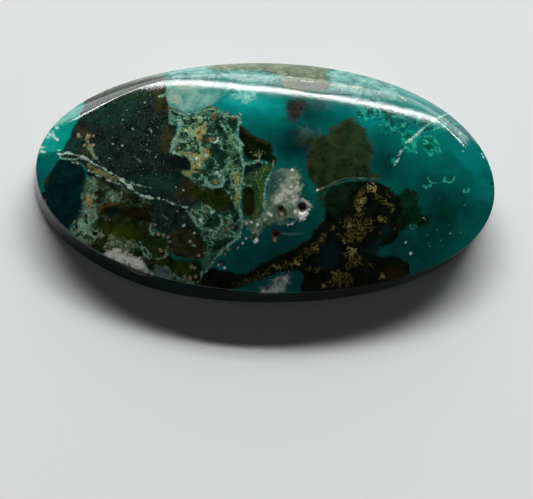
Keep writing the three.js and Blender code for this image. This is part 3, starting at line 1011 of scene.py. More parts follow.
# %% Cap and block
CAP = [
    (-1.35, 2.1), (-1, 1.85), (-0.75, 1.55), (-0.3, 1.3), (0.1, 1.15), (0.35, 1.05), (0.35, 0.6),
    (0.6, 0.2), (0.6, -0.1), (0.3, 0), (-0.2, 0.1), (-1, 0), (-1.1, 0.8), (-1.25, 1.2), (-1.4, 1.7),
]
CAP_RIM = [(-1.3, 1.95), (-1, 1.7), (-0.75, 1.42), (-0.3, 1.2), (0.1, 1.05), (0.3, 0.9)]
BLOCK = [
    (-1, 0.05), (-0.6, 0), (-0.25, 0.1), (0, -0.1), (0.3, 0), (0.45, -0.3), (0.35, -0.6), (0.2, -0.9),
    (0.15, -1.4), (0.15, -2.3), (0.05, -2.5), (-0.1, -2.8), (-0.4, -3), (-0.9, -2.95), (-1, -2.6),
    (-1.1, -2.2), (-1.05, -1.5), (-0.95, -1.2), (-1, -0.6),
]
BLOCK_CORE = [
    (-1, -1.35), (-0.6, -1.35), (-0.4, -1.7), (-0.35, -2.5), (-0.5, -2.85), (-0.95, -2.8), (-1.05, -2),
]
BLOCK_SHADE = [(-1, -0.15), (-0.7, -0.25), (-0.3, 0), (0, -0.2), (-0.2, -0.35), (-0.6, -0.5), (-1, -0.9)]
lay("cap", inside(CAP), (0.0005, 0.003, 0.001), (0.005, 0.011, 0.004), fray=0.15, soft=0.14)
lay(
    "cap_rim", along(CAP_RIM, 0.12), (0.008, 0.01, 0.003), (0.035, 0.024, 0.008), fray=0.2, soft=0.16,
    cover=0.85,
)
lay("block", inside(BLOCK), (0.006, 0.028, 0.008), (0.03, 0.09, 0.032), "grain", 0.15, 0.1)
lay("block_shade", inside(BLOCK_SHADE), (0.001, 0.008, 0.006), (0.006, 0.022, 0.014), fray=0.15, soft=0.2)
lay("block_core", inside(BLOCK_CORE), (0.002, 0.004, 0.001), (0.012, 0.016, 0.004), fray=0.2, soft=0.2)
STREAKS = [
    (0.04, [(0, -0.4), (-0.1, -0.7), (-0.2, -1)]),
    (0.03, [(-0.35, -0.55), (-0.45, -0.85), (-0.5, -1.1)]),
    (0.03, [(-0.6, -0.65), (-0.7, -0.95)]),
    (0.03, [(-0.2, -0.45), (-0.3, -0.8)]),
    (0.05, [(-0.3, 0.65), (-0.28, 0.3), (-0.25, 0.15)]),
    (0.04, [(-0.5, 0.6), (-0.35, 0.3), (-0.27, 0.15)]),
    (0.04, [(-0.1, 0.6), (-0.18, 0.35), (-0.23, 0.15)]),
    (0.05, [(-0.65, 0.35), (-0.45, 0.35), (-0.3, 0.2)]),
    (0.04, [(-0.95, 0.45), (-0.8, 0.5), (-0.65, 0.52)]),
    (0.05, [(0, 0.55), (0.05, 0.45)]),
    (0.03, [(-0.7, 0.1), (-0.55, 0.05), (-0.4, 0.1)]),
    (0.07, [(0.48, 0.1), (0.42, -0.1), (0.42, -0.35)]),
]
LIME = [
    (0.18, [(-0.3, -1), (-0.15, -1.3), (-0.12, -1.7), (-0.1, -2.1), (-0.2, -2.5)]),
    (0.12, [(-0.1, -0.3), (0.15, -0.3), (0.3, -0.5)]),
    (0.1, [(-0.25, -2.6), (-0.4, -2.85)]),
]
lay("lime", drawn(LIME), (0.02, 0.05, 0.006), (0.09, 0.15, 0.025), "grain", 0.25, 0.2, 0.85)
lay("streaks", drawn(STREAKS), (0.05, 0.07, 0.02), (0.26, 0.27, 0.12), "grain", 0.08, 0.06, 0.85)

# %% [markdown]
# ## The black ground and its gold moss
#
# The lower right is nearly black, with an uneven brown edge. Over it grows a yellow-brown iron mineral like
# moss: loose masses, and a string that runs along the edge. It thins out to single tufts. Real strands
# would be thousands of tiny meshes under a polish that hides their relief, so the moss is colour alone:
# each mass is drawn as an outline, and a mesh of short worm-like threads breaks it up.

# %% Black ground
GROUND = [
    (-2.9, -6.6), (-2.9, -5.9), (-2.6, -5.4), (-1.4, -5.65), (-0.5, -5.6), (-0.1, -5.2), (0.4, -5.05),
    (0.7, -4.8), (1.2, -4.65), (1.6, -4.4), (2, -4.1), (2.4, -3.8), (2.6, -3.4), (3, -3), (3.15, -2.6),
    (3.1, -2.1), (3, -1.6), (3.4, -1.2), (4, -0.8), (5, -0.7), (5.8, -0.7), (6.2, -0.9), (6.6, -1.2),
    (6.9, -1.6), (7, -2.2), (6.7, -2.6), (6.9, -3), (6.8, -3.6), (6.3, -3.9), (5.7, -4.2), (5.9, -4.5),
    (6.6, -4.35), (7.1, -4.5), (7.45, -4.8), (7.5, -5.1), (6.9, -6.2), (5.5, -7.2), (4, -7.6), (2.2, -7.8),
    (2, -6.2), (2.2, -5.7), (1.95, -5.35), (1.6, -5.4), (1, -5.5), (0.5, -5.75), (0, -5.9), (-0.6, -6.1),
    (-1.2, -6.25), (-2, -6.7),
]
GREEN_SIDE = [
    (6.4, -1.1), (6.8, -1.3), (7, -1), (7.4, -0.9), (7.8, -1.3), (7.9, -1.9), (8.3, -2.2), (8.6, -2.6),
    (8, -2.9), (7.4, -2.8), (7, -3.1), (6.7, -3.5), (6.3, -3.4), (6.4, -2.4),
]
GREEN_FRINGE = [
    (3.3, -1.15), (3.6, -1), (4.2, -0.85), (4.8, -0.8), (4.3, -1.4), (4.2, -2.2), (3.6, -2.6), (3.2, -2.3),
    (3.2, -1.6),
]
TEAL_WINDOWS = [
    (3.4, -4.4, 0.45), (3.5, -4.9, 0.35), (3.2, -5.1, 0.25), (5.6, -4.2, 0.3), (5.75, -3.9, 0.2),
    (6.2, -3.2, 0.25),
]
BROWN_LUMP = [
    (5.7, -5.5), (6.1, -5.2), (6.6, -4.9), (7.1, -4.65), (7.4, -4.8), (7.45, -5.1), (6.9, -5.5),
    (6.2, -5.9),
]
lay("green_side", inside(GREEN_SIDE), (0.001, 0.008, 0.002), (0.003, 0.03, 0.014), fray=0.6, soft=0.4)
lay("ground", inside(GROUND), (0.0005, 0.0015, 0.0005), (0.004, 0.008, 0.003), fray=0.2, soft=0.14)
lay("green_fringe", inside(GREEN_FRINGE), (0.002, 0.008, 0.003), (0.007, 0.022, 0.01), fray=0.3, soft=0.4)
lay("teal_windows", dots(TEAL_WINDOWS), (0, 0.01, 0.01), (0.002, 0.028, 0.026), "cloud", 0.3, 0.5, 0.85)
EDGE_BROWN = [
    (-0.4, -5.55), (-0.1, -5.2), (0.4, -5.05), (0.7, -4.8), (1.2, -4.65), (1.6, -4.4), (2, -4.1),
    (2.4, -3.8), (2.6, -3.4), (3, -3), (3.1, -2.6),
]
lay(
    "edge_brown", along(EDGE_BROWN, 0.04), (0.012, 0.006, 0.001), (0.045, 0.022, 0.006), fray=0.12,
    soft=0.08, cover=0.7,
)
lay("brown_lump", inside(BROWN_LUMP), (0.003, 0.002, 0.001), (0.022, 0.013, 0.005), fray=0.2, soft=0.2)

# %% Gold moss
STRING = [
    (-1.6, -6.15), (-1.2, -6.1), (-0.6, -6), (-0.1, -5.75), (0.4, -5.5), (0.9, -5.25), (1.4, -5.15),
    (1.7, -5), (2, -4.8), (2.2, -4.5), (2.6, -4.3), (2.8, -4), (3, -3.8), (3.2, -3.5),
]
STRING_WIDTHS = (0.05, 0.08, 0.16, 0.22, 0.26, 0.3, 0.26, 0.35, 0.3, 0.28, 0.34, 0.3, 0.28, 0.2)
MOSS = [
    [(4.6, -1.6), (4.8, -1.2), (5.1, -0.95), (5.6, -0.9), (5.7, -1.1), (5.3, -1.3), (5.1, -1.5), (5, -2),
     (5.2, -2.3), (4.9, -2.6), (4.6, -2.4), (4.5, -2)],
    [(5.6, -1.2), (6, -1.45), (6.4, -1.65), (6.6, -2), (6.4, -2.1), (5.9, -1.75), (5.6, -1.6)],
    [(4, -3), (4.3, -2.6), (4.8, -2.75), (5.2, -2.6), (5.6, -2.8), (5.7, -3.1), (5.3, -3.3), (5.1, -3.6),
     (4.9, -3.9), (4.3, -3.95), (4.1, -3.8), (4.2, -3.5)],
    [(5.75, -2.6), (6.1, -2.5), (6.35, -2.75), (6, -2.8)],
    [(4, -4.4), (4.3, -4.15), (4.9, -4.25), (5, -4.5), (5.3, -4.6), (5.3, -4.8), (4.9, -4.9), (4.5, -5.2),
     (4.2, -5.1), (4.4, -4.8)],
    [(3.5, -5.6), (3.9, -5.2), (4.3, -5.3), (4.6, -5.5), (4.7, -5.8), (4.2, -5.9), (3.6, -5.95),
     (3.2, -6.1), (2.9, -6.1), (3.3, -5.9)],
    [(5.8, -5.45), (6.1, -5.25), (6.4, -5.2), (6.4, -5.4), (6, -5.55)],
]
MOSS_TUFTS = [
    (2.45, -5.25, 0.12), (2.75, -5, 0.12), (2.8, -5.3, 0.1), (3.55, -3.2, 0.14), (3.8, -3.5, 0.09),
    (3.15, -3.6, 0.1), (6.4, -2.2, 0.07), (3.9, -2.9, 0.06), (6.2, -1.2, 0.06), (3.3, -4.1, 0.06),
    (5.55, -4.95, 0.08), (5.9, -3.3, 0.06), (4.9, -2.4, 0.1), (6.3, -1, 0.06), (5.4, -2.8, 0.14),
    (6.6, -3, 0.05),
]
MOSS_BRIGHT = [
    (5.4, -1, 0.2), (4.95, -1.7, 0.16), (4.8, -2.2, 0.18), (6, -2.6, 0.14), (5.55, -2.85, 0.1),
    (4.5, -4.3, 0.22), (4.2, -3.8, 0.14), (6.15, -1.55, 0.12), (3.8, -5.5, 0.12), (2.7, -4.3, 0.12),
    (1.8, -5.05, 0.12), (4.4, -3.1, 0.16), (3.2, -6, 0.06), (6.15, -5.35, 0.08), (0.9, -5.3, 0.1),
    (0.1, -5.7, 0.08),
]
moss = either(along(STRING, STRING_WIDTHS), dots(MOSS_TUFTS), outlined(MOSS))
lay("moss_shadow", moss, (0.001, 0.002, 0.0005), (0.009, 0.008, 0.002), fray=0.4, soft=0.2, cover=0.85)
lay("moss", moss, (0.022, 0.021, 0.004), (0.125, 0.11, 0.03), "grain", 0.35, 0.12, "worms")
lay("moss_bright", dots(MOSS_BRIGHT), (0.1, 0.09, 0.025), (0.34, 0.3, 0.11), "grain", 0.4, 0.15, "worms")

# %% [markdown]
# ## The olive patch and its curved seam
#
# Above the black ground lies a soft olive patch that looks a little out of focus, because it is under clear
# stone. A clear shell over a coloured core would blur it in the same way, but the shell is too thin to be
# seen as one, so a wide soft edge stands for it. A thin bright seam runs along its lower edge in one clean
# curve.

# %% Olive patch
OLIVE_PATCH = [
    (1.5, 1.9), (1.9, 1.95), (2.3, 1.6), (2.9, 1.7), (3.4, 1.95), (3.7, 2.3), (4, 2.6), (4.35, 2.85),
    (4.7, 2.6), (4.9, 2.4), (5.1, 2), (5.3, 1.4), (5.4, 1), (5.4, 0.5), (5.3, 0.1), (5.5, -0.2),
    (5.9, -0.35), (5.7, -0.6), (5, -0.6), (4.4, -0.65), (3.8, -0.85), (3.2, -1.2), (3, -1.5), (3.1, -2),
    (3, -2.4), (2.7, -1.4), (2.4, -0.9), (2.1, -0.5), (2, 0.2), (2.1, 0.7), (1.75, 1), (1.5, 1.4),
]
OLIVE_TOP = [(3.2, 1.95), (3.6, 2.15), (4, 2.5), (4.35, 2.8)]
OLIVE_GREEN = [(4.2, 2.4), (4.9, 2.3), (5.2, 1.5), (5.3, 0.6), (4.8, 0.3), (4.3, 0.6), (4.2, 1.4)]
lay("olive_patch", inside(OLIVE_PATCH), (0.006, 0.014, 0.005), (0.024, 0.036, 0.012), fray=0.4, soft=0.35)
lay(
    "olive_green", inside(OLIVE_GREEN), (0.008, 0.026, 0.01), (0.018, 0.042, 0.016), fray=0.5, soft=0.6,
    cover=0.7,
)
lay("olive_top", along(OLIVE_TOP, 0.14), (0.02, 0.02, 0.008), (0.05, 0.035, 0.014), "grain", 0.2, 0.2, 0.7)
SEAM = [
    (2.55, -1.5), (2.75, -1.33), (3.2, -1.1), (3.6, -0.85), (4, -0.64), (4.5, -0.55), (5, -0.56),
    (5.5, -0.53), (5.8, -0.55),
]
SEAM_WIDTHS = (0.05, 0.1, 0.05, 0.035, 0.04, 0.035, 0.035, 0.03, 0.02)
SECOND_SEAM = [(3.2, -1.2), (3.7, -0.9), (4.1, -0.82), (4.5, -0.66), (5, -0.6)]
SEAM_KNOT = [(2.7, -1.35, 0.07)]
SIDE_SEAMS = [(0.02, SECOND_SEAM), (0.04, [(4.8, -0.4), (4.83, -0.3)])]
seams = either(along(SEAM, SEAM_WIDTHS), drawn(SIDE_SEAMS))
lay("seam", seams, (0.06, 0.09, 0.05), (0.2, 0.25, 0.17), "grain", 0.03, 0.05, 0.8)
lay("seam_knot", dots(SEAM_KNOT), (0.4, 0.45, 0.36), (0.8, 0.84, 0.76), "grain", 0.06, 0.06)

# %% [markdown]
# ## Stains
#
# Iron and manganese have stained the clear stone in a few places. A stain has no edge at all, so its
# softness is as wide as the stain. It never covers fully either, so that some of the teal below still
# shows.

# %% Stains
MAROON = [
    (0.95, 3.2), (1.1, 3.7), (1.6, 3.8), (2.1, 3.6), (2, 3.1), (1.7, 2.7), (1.5, 2.3), (1.2, 2.3),
    (1.05, 2.7),
]
lay("maroon", inside(MAROON), (0.01, 0.008, 0.006), (0.036, 0.018, 0.012), fray=0.4, soft=0.5, cover=0.94)
NAVY = [
    (2.1, 2.8, 0.3), (1.95, 0.85, 0.3), (1.2, 1.6, 0.3), (2.6, 3.5, 0.4), (2.1, 0.75, 0.15),
    (1.5, 0.7, 0.2),
]
lay("navy", dots(NAVY), (0.001, 0.014, 0.018), (0.003, 0.03, 0.036), "cloud", 0.3, 0.6, 0.7)
GREY_VEIL = [
    [(2, 2.2), (2.4, 2), (2.9, 1.9), (2.6, 1.5), (2.1, 1.4), (1.6, 1.6)],
    [(2.1, 3.8), (3.3, 3.7), (3.2, 3.3), (2.4, 3.2)],
]
lay(
    "grey_veil", outlined(GREY_VEIL), (0.014, 0.07, 0.07), (0.05, 0.115, 0.11), fray=0.5, soft=0.6,
    cover=0.5,
)
DOTS = [(4.35, 0.15, 0.08), (2, 0.85, 0.06), (2.1, 0.92, 0.05), (1.95, 2.1, 0.05), (5, 0.1, 0.06)]
lay("dark_dots", dots(DOTS), (0.001, 0.003, 0.001), (0.006, 0.012, 0.005), "grain", 0.08, 0.12, 0.9)

# %% [markdown]
# ## Veins
#
# Veins are later cracks that filled with a pale mineral, so they cross everything drawn so far. They could
# be cut as grooves, but the wheel has left them level with the stone, so they are colour alone: lines with
# a width that swells and pinches along the way. The aqua ones follow the edges of the blocks, and the white
# one cuts straight across.

# %% Aqua veins
AQUA_VEINS = [
    (0.1, [(-1.3, 2.7), (-1.35, 2.2), (-1.4, 1.6), (-1.45, 1.25), (-1.2, 1.05), (-1.1, 0.9)]),
    (0.14, [(-1.25, 0.9), (-1.2, 0.4), (-1.1, 0), (-1.02, -0.2), (-1.05, -0.6)]),
    (0.08, [(-1.08, -0.6), (-1.1, -1.3), (-1.12, -1.9), (-1.15, -2.4)]),
    (0.12, [(-1.15, -2.4), (-1.05, -2.8), (-0.98, -3.1), (-0.98, -3.5), (-1.1, -3.9)]),
    (0.12, [(-1.1, -3.9), (-1.4, -4.15), (-1.8, -4.5), (-2.05, -4.8)]),
    (0.07, [(-2.05, -4.8), (-2.3, -5.1), (-2.5, -5.4), (-2.7, -5.65)]),
    (0.1, [(-2.3, 2.2), (-2.1, 1.8), (-1.85, 1.5), (-1.7, 1.2), (-1.55, 0.9), (-1.3, 0.7)]),
    (0.06, [
        (-4.9, 2.9), (-4.3, 2.65), (-3.9, 2.6), (-3.3, 2.8), (-2.8, 3), (-2.3, 2.8), (-1.9, 2.5),
        (-1.4, 2.55),
    ]),
    (0.16, [(-4.3, 2.3), (-4.3, 1.9), (-4.45, 1.4), (-4.55, 1), (-4.65, 0.6), (-4.55, 0.4)]),
    (0.06, [(-4.45, 0.35), (-4.1, 0.28), (-3.8, 0.22), (-3.6, 0.1), (-3.5, -0.1)]),
    (0.12, [(0.2, -0.9), (0.08, -1.2), (0.08, -1.6), (0.12, -2.1), (0.05, -2.45)]),
    (0.07, [(0.4, -0.45), (0.25, -0.7), (0.12, -0.95)]),
    (0.06, [(-1.1, -1.25), (-0.95, -1.2), (-0.75, -1.25), (-0.55, -1.3)]),
    (0.1, [
        (-1.05, -0.05), (-0.9, -0.15), (-0.65, -0.1), (-0.45, 0), (-0.25, 0.12), (-0.05, -0.05),
        (0.1, -0.02),
    ]),
    (0.13, [(-2.9, -0.95), (-2.8, -1.25), (-2.6, -1.4), (-2.35, -1.4), (-2.1, -1.3)]),
    (0.1, [(-2.5, -0.7), (-2.3, -0.8), (-2.15, -1), (-2.05, -1.3), (-1.95, -0.9), (-2.1, -0.6)]),
    (0.09, [
        (-3.75, -2.65), (-3.4, -3), (-3.3, -3.3), (-2.95, -3.55), (-2.6, -3.6), (-2.3, -3.7), (-1.8, -3.85),
        (-1.3, -3.85),
    ]),
    (0.07, [(-3.8, -2.45), (-3.4, -2.65), (-3, -2.9), (-2.9, -3.1)]),
    (0.07, [(-3, -2.3), (-2.7, -2.45), (-2.3, -2.7), (-2, -2.9), (-1.95, -3.3), (-2.2, -3.6)]),
    (0.06, [(-1.95, -1.55), (-1.75, -1.6), (-1.6, -1.75), (-1.55, -2)]),
    (0.1, [(-5.5, 3.75), (-5.25, 3.85), (-5.1, 4.1), (-4.85, 4.35)]),
    (0.06, [(-5.45, 3.7), (-5.1, 3.78), (-5.05, 3.95)]),
    (0.08, [(-5.5, -3.45), (-5.55, -3.7), (-5.35, -3.9)]),
    (0.1, [(-5.95, -4.3), (-5.9, -4.6), (-5.7, -4.9), (-5.45, -5.05)]),
    (0.06, [(-5.75, -4.5), (-5.55, -4.75), (-5.4, -4.95)]),
    (0.08, [(-4.7, -4.6), (-4.65, -4.9), (-4.9, -5.05), (-5.2, -5)]),
    (0.06, [(-4.7, -5.4), (-4.3, -5.7), (-3.9, -5.95), (-3.3, -6.1), (-2.9, -6), (-2.85, -5.6)]),
]
WEB_VEIN = [
    (-8.9, -0.8), (-8.45, -0.9), (-8.25, -1.4), (-8.4, -1.7), (-8.35, -2.2), (-8.25, -2.6), (-8.2, -3),
    (-8.3, -3.4), (-8.1, -3.7), (-8.3, -4.3), (-8.8, -4.3), (-9.3, -4), (-9.6, -3.6), (-9.3, -3.3),
    (-9, -3), (-9, -2.5), (-8.9, -2.2), (-9.1, -2), (-8.95, -1.6), (-8.85, -1.2),
]
AQUA_KNOT = [(-7.9, -1.9), (-7.5, -1.65), (-7.3, -1.8), (-7.15, -2.2), (-7.4, -2.3), (-7.7, -2.2)]
GREEN_TRAIL = [(-8.9, 0.75), (-8.75, 0.6), (-8.7, 0.35), (-8.55, 0.15), (-8.5, 0.1)]
VEIN_FILL = [
    (-9, -0.1), (-8.7, -0.25), (-8.3, -0.45), (-7.9, -0.6), (-7.5, -0.85), (-7.2, -1.1), (-7.6, -1.15),
    (-8, -0.95), (-8.4, -0.8), (-8.8, -0.6),
]
web_vein = either(inside(WEB_VEIN), inside(AQUA_KNOT))
lay("web_vein", web_vein, (0.003, 0.018, 0.008), (0.12, 0.22, 0.14), "chips", 0.3, 0.12)
lay("web_tangle", web_vein, (0.06, 0.17, 0.11), (0.38, 0.56, 0.44), "grain", 0.2, 0.15, "tangle")
lay("vein_fill", inside(VEIN_FILL), (0.03, 0.04, 0.012), (0.2, 0.2, 0.1), "chips", 0.2, 0.12, 0.85)
lay("aqua_veins", drawn(AQUA_VEINS), (0.03, 0.13, 0.08), (0.28, 0.48, 0.36), "grain", 0.18, 0.08, 0.88)
lay("green_trail", along(GREEN_TRAIL, 0.16), (0.05, 0.1, 0.05), (0.24, 0.32, 0.2), "grain", 0.2, 0.12)
RUST_CORES = [
    (-8.7, -2, 0.14), (-8.68, -2.3, 0.15), (-8.62, -2.6, 0.1), (-8.55, -2.95, 0.07), (-7.52, -2.05, 0.09),
    (-8.4, -0.62, 0.1), (-8.35, -0.55, 0.08), (-9.35, -3.25, 0.07),
]
lay("rust_cores", dots(RUST_CORES), (0.08, 0.065, 0.02), (0.36, 0.27, 0.11), "grain", 0.25, 0.14)
TAN_GRAINS = [
    (-9.5, 1.52, 0.08), (-9.45, 1.38, 0.1), (-9, 1.36, 0.14), (-8.75, 1.38, 0.07), (-9, 1.1, 0.1),
    (-9.15, 0.85, 0.08), (-8.9, 0.9, 0.05), (-8.72, 0.85, 0.1), (-9.1, 1.2, 0.08), (-3.4, -5.4, 0.1),
    (-3.2, -5.45, 0.07), (-3.7, -5.85, 0.08), (-3.45, -5.9, 0.08), (-3.15, -5.85, 0.09),
    (-1.6, -4.55, 0.07), (-1.75, -4.78, 0.05), (-5.1, -3.85, 0.08), (-4.85, -3.92, 0.09), (-4.6, -4, 0.08),
    (-4.5, -4.2, 0.07), (-4.95, -4.65, 0.09), (-4.62, -4.5, 0.07), (-5, -4.6, 0.05), (-8, -5, 0.12),
    (-7.6, -5.05, 0.1), (-5.3, -3.4, 0.06), (-2.75, -4.7, 0.07),
]
lay("tan_grains", dots(TAN_GRAINS), (0.09, 0.08, 0.035), (0.36, 0.32, 0.19), "grain", 0.1, 0.1, 0.9)

# %% White vein
VEIN_MAIN = [
    (-10.5, 0.44), (-10.2, 0.38), (-9.95, 0.48), (-9.75, 0.38), (-9.5, 0.28), (-9.2, 0.22), (-9, 0.12),
    (-8.8, -0.05), (-8.55, -0.22), (-8.3, -0.35), (-8.05, -0.47), (-7.8, -0.62), (-7.5, -0.8),
    (-7.3, -0.95), (-7.1, -1.1), (-6.95, -1.2), (-6.75, -1.4), (-6.6, -1.48), (-6.5, -1.62),
]
VEIN_MAIN_WIDTHS = (
    0.07, 0.12, 0.15, 0.1, 0.08, 0.08, 0.07, 0.07, 0.08, 0.08, 0.09, 0.06, 0.05, 0.09, 0.15, 0.1, 0.13, 0.2,
    0.07,
)
VEIN_TAIL = [
    (-6.5, -1.62), (-6.2, -1.85), (-5.9, -1.93), (-5.65, -2.02), (-5.1, -2.05), (-4.8, -2.15),
    (-4.5, -2.28), (-4.3, -2.36), (-3.9, -2.46), (-3.6, -2.62),
]
VEIN_TAIL_WIDTHS = (0.07, 0.05, 0.06, 0.11, 0.02, 0.05, 0.07, 0.05, 0.03, 0.04)
VEIN_SIDES = [
    (0.07, [
        (-10.45, 0.2), (-10.1, 0.15), (-9.8, 0.08), (-9.5, 0.1), (-9.25, 0.15), (-9.05, 0.04),
        (-8.9, -0.08),
    ]),
    (0.05, [(-9.7, -0.08), (-9.4, -0.15), (-9.15, -0.25), (-9, -0.42), (-8.85, -0.55)]),
    (0.07, [
        (-8.85, -0.55), (-8.6, -0.72), (-8.3, -0.85), (-8, -0.95), (-7.8, -1.1), (-7.5, -1.2),
        (-7.1, -1.35),
    ]),
    (0.05, [(-6.9, -1.2), (-6.65, -1.22), (-6.5, -1.28)]),
    (0.05, [(-7.05, -1.5), (-6.98, -1.65), (-7.05, -1.8)]),
    (0.03, [(-6.5, -1.35), (-6, -1.4), (-5.6, -1.5)]),
]
vein = either(along(VEIN_MAIN, VEIN_MAIN_WIDTHS), along(VEIN_TAIL, VEIN_TAIL_WIDTHS))
lay("vein_sides", drawn(VEIN_SIDES), (0.06, 0.14, 0.09), (0.4, 0.54, 0.43), "grain", 0.16, 0.07, 0.8)
lay("white_vein", vein, (0.1, 0.22, 0.16), (0.62, 0.76, 0.67), "grain", 0.14, 0.07, 0.9)

# %% [markdown]
# ## The near edge
#
# At the lower left a band of hard white quartz reaches the girdle, and its brown bed shows on the wall
# below. The rest of the near wall faces away from the lamps, in shade, and shows hardly any pattern. The
# drawings on the plan would run on down it in full colour, so a dark layer of painted shade goes over them,
# and fades out where the wall turns towards the ends.

# %% Near edge
QUARTZ_EDGE = [
    (-7.9, -4.75), (-7.4, -4.6), (-7, -4.6), (-6.5, -4.8), (-6, -5), (-5.6, -5.4), (-5.2, -5.75),
    (-5.3, -5.95), (-5.8, -5.7), (-6.4, -5.4), (-7, -5.15), (-7.6, -5),
]
QUARTZ_HEART = [
    (-7.6, -4.8), (-7.1, -4.75), (-6.4, -4.95), (-5.9, -5.2), (-5.7, -5.5), (-6.3, -5.3), (-7, -5),
    (-7.5, -4.95),
]
TAN_BED = [
    (-7, -5.25), (-6.6, -5.3), (-6.1, -5.6), (-5.4, -5.9), (-5.2, -6.05), (-6, -6.1), (-6.6, -5.8),
    (-6.9, -5.5),
]
GREY_EDGE = [(-5.2, -5.35), (-4.7, -5.4), (-4.2, -5.8), (-4.6, -6), (-5.2, -5.9)]
lay("quartz_edge", inside(QUARTZ_EDGE), (0.14, 0.17, 0.13), (0.6, 0.6, 0.54), "chips", 0.25, 0.15)
lay("quartz_heart", inside(QUARTZ_HEART), (0.5, 0.52, 0.46), (0.85, 0.85, 0.8), "grain", 0.25, 0.15, 0.8)
lay("grey_edge", inside(GREY_EDGE), (0.03, 0.05, 0.05), (0.14, 0.17, 0.16), fray=0.3, soft=0.2)
NEAR_PATCH = [
    (0, -6.6), (0.2, -6.3), (0.6, -6.1), (0.9, -5.8), (1.4, -5.6), (1.6, -5.75), (1.4, -6), (1.2, -6.3),
    (0.9, -6.55), (0.4, -6.65),
]
lay("near_patch", inside(NEAR_PATCH), (0.05, 0.13, 0.11), (0.6, 0.62, 0.55), fray=0.4, soft=0.3)


def wall_below(edge, facing):
    """Distance in mm inside the wall below an edge, held back to where the wall faces one way."""
    return np.where(on_top, -REACH, np.minimum(below_girdle - edge, facing))


# The dark layer on the near wall is painted shade, for the side that faces away from the lamps.
NEAR_WALL_TOP = 0.05
NEAR_WALL_FROM = -1.5
NEAR_WALL_FADE = 0.3
near_wall = wall_below(NEAR_WALL_TOP, NEAR_WALL_FADE * (NEAR_WALL_FROM - y))
lay("near_wall", near_wall, (0.001, 0.003, 0.003), (0.006, 0.015, 0.013), "mottle", 0.3, 0.4, 0.85)
lay("tan_bed", inside(TAN_BED), (0.02, 0.016, 0.01), (0.24, 0.19, 0.14), "chips", 0.25, 0.2, 0.85)

# %% [markdown]
# ## Malachite lace
#
# On the right the teal is clear, and a bright green lace floats in it. The wavy lines come from one height
# of a smooth noise, like the contour lines of a map, and they show only inside the outlines drawn here.

# %% Lace
LACE_ZONES = [
    [(4.3, 3.9), (4.6, 3.2), (4.9, 2.8), (5.6, 2.8), (6.2, 3), (6.6, 3.5), (6.3, 4.3), (5, 4.3)],
    [(5.9, 3.1), (6.1, 2.5), (6.7, 2.2), (7.3, 2.5), (7.6, 3.2), (7, 3.8), (6.3, 3.6)],
    [(7.3, 3.6), (8.2, 3.3), (8.8, 3.6), (9.6, 3.3), (10.3, 3.1), (9.8, 2.8), (9, 2.9), (8.1, 2.4),
     (7.5, 2.7)],
]
JADE = [
    [(5.75, 2.3), (5.85, 2), (6.2, 1.95), (6.4, 2.1), (6.35, 2.4), (6, 2.45)],
    [(7.2, 2.5), (7.6, 2.3), (8.1, 2.2), (7.8, 1.9), (7.7, 1.3), (7.4, 0.9), (7.1, 1), (7, 1.4), (6.9, 1.7),
     (7, 2.1)],
    [(6.7, 1.6), (6.95, 1.5), (6.85, 1), (6.6, 0.4), (6.45, 0.3), (6.5, 0.8), (6.6, 1.2)],
]
HALO = [
    (8, 1.3), (7.9, 1.9), (8.2, 2.25), (8.6, 2.2), (8.95, 1.8), (9, 1.3), (8.8, 1.15), (8.6, 1.3), (8.4, 1),
    (8.2, 1.2),
]
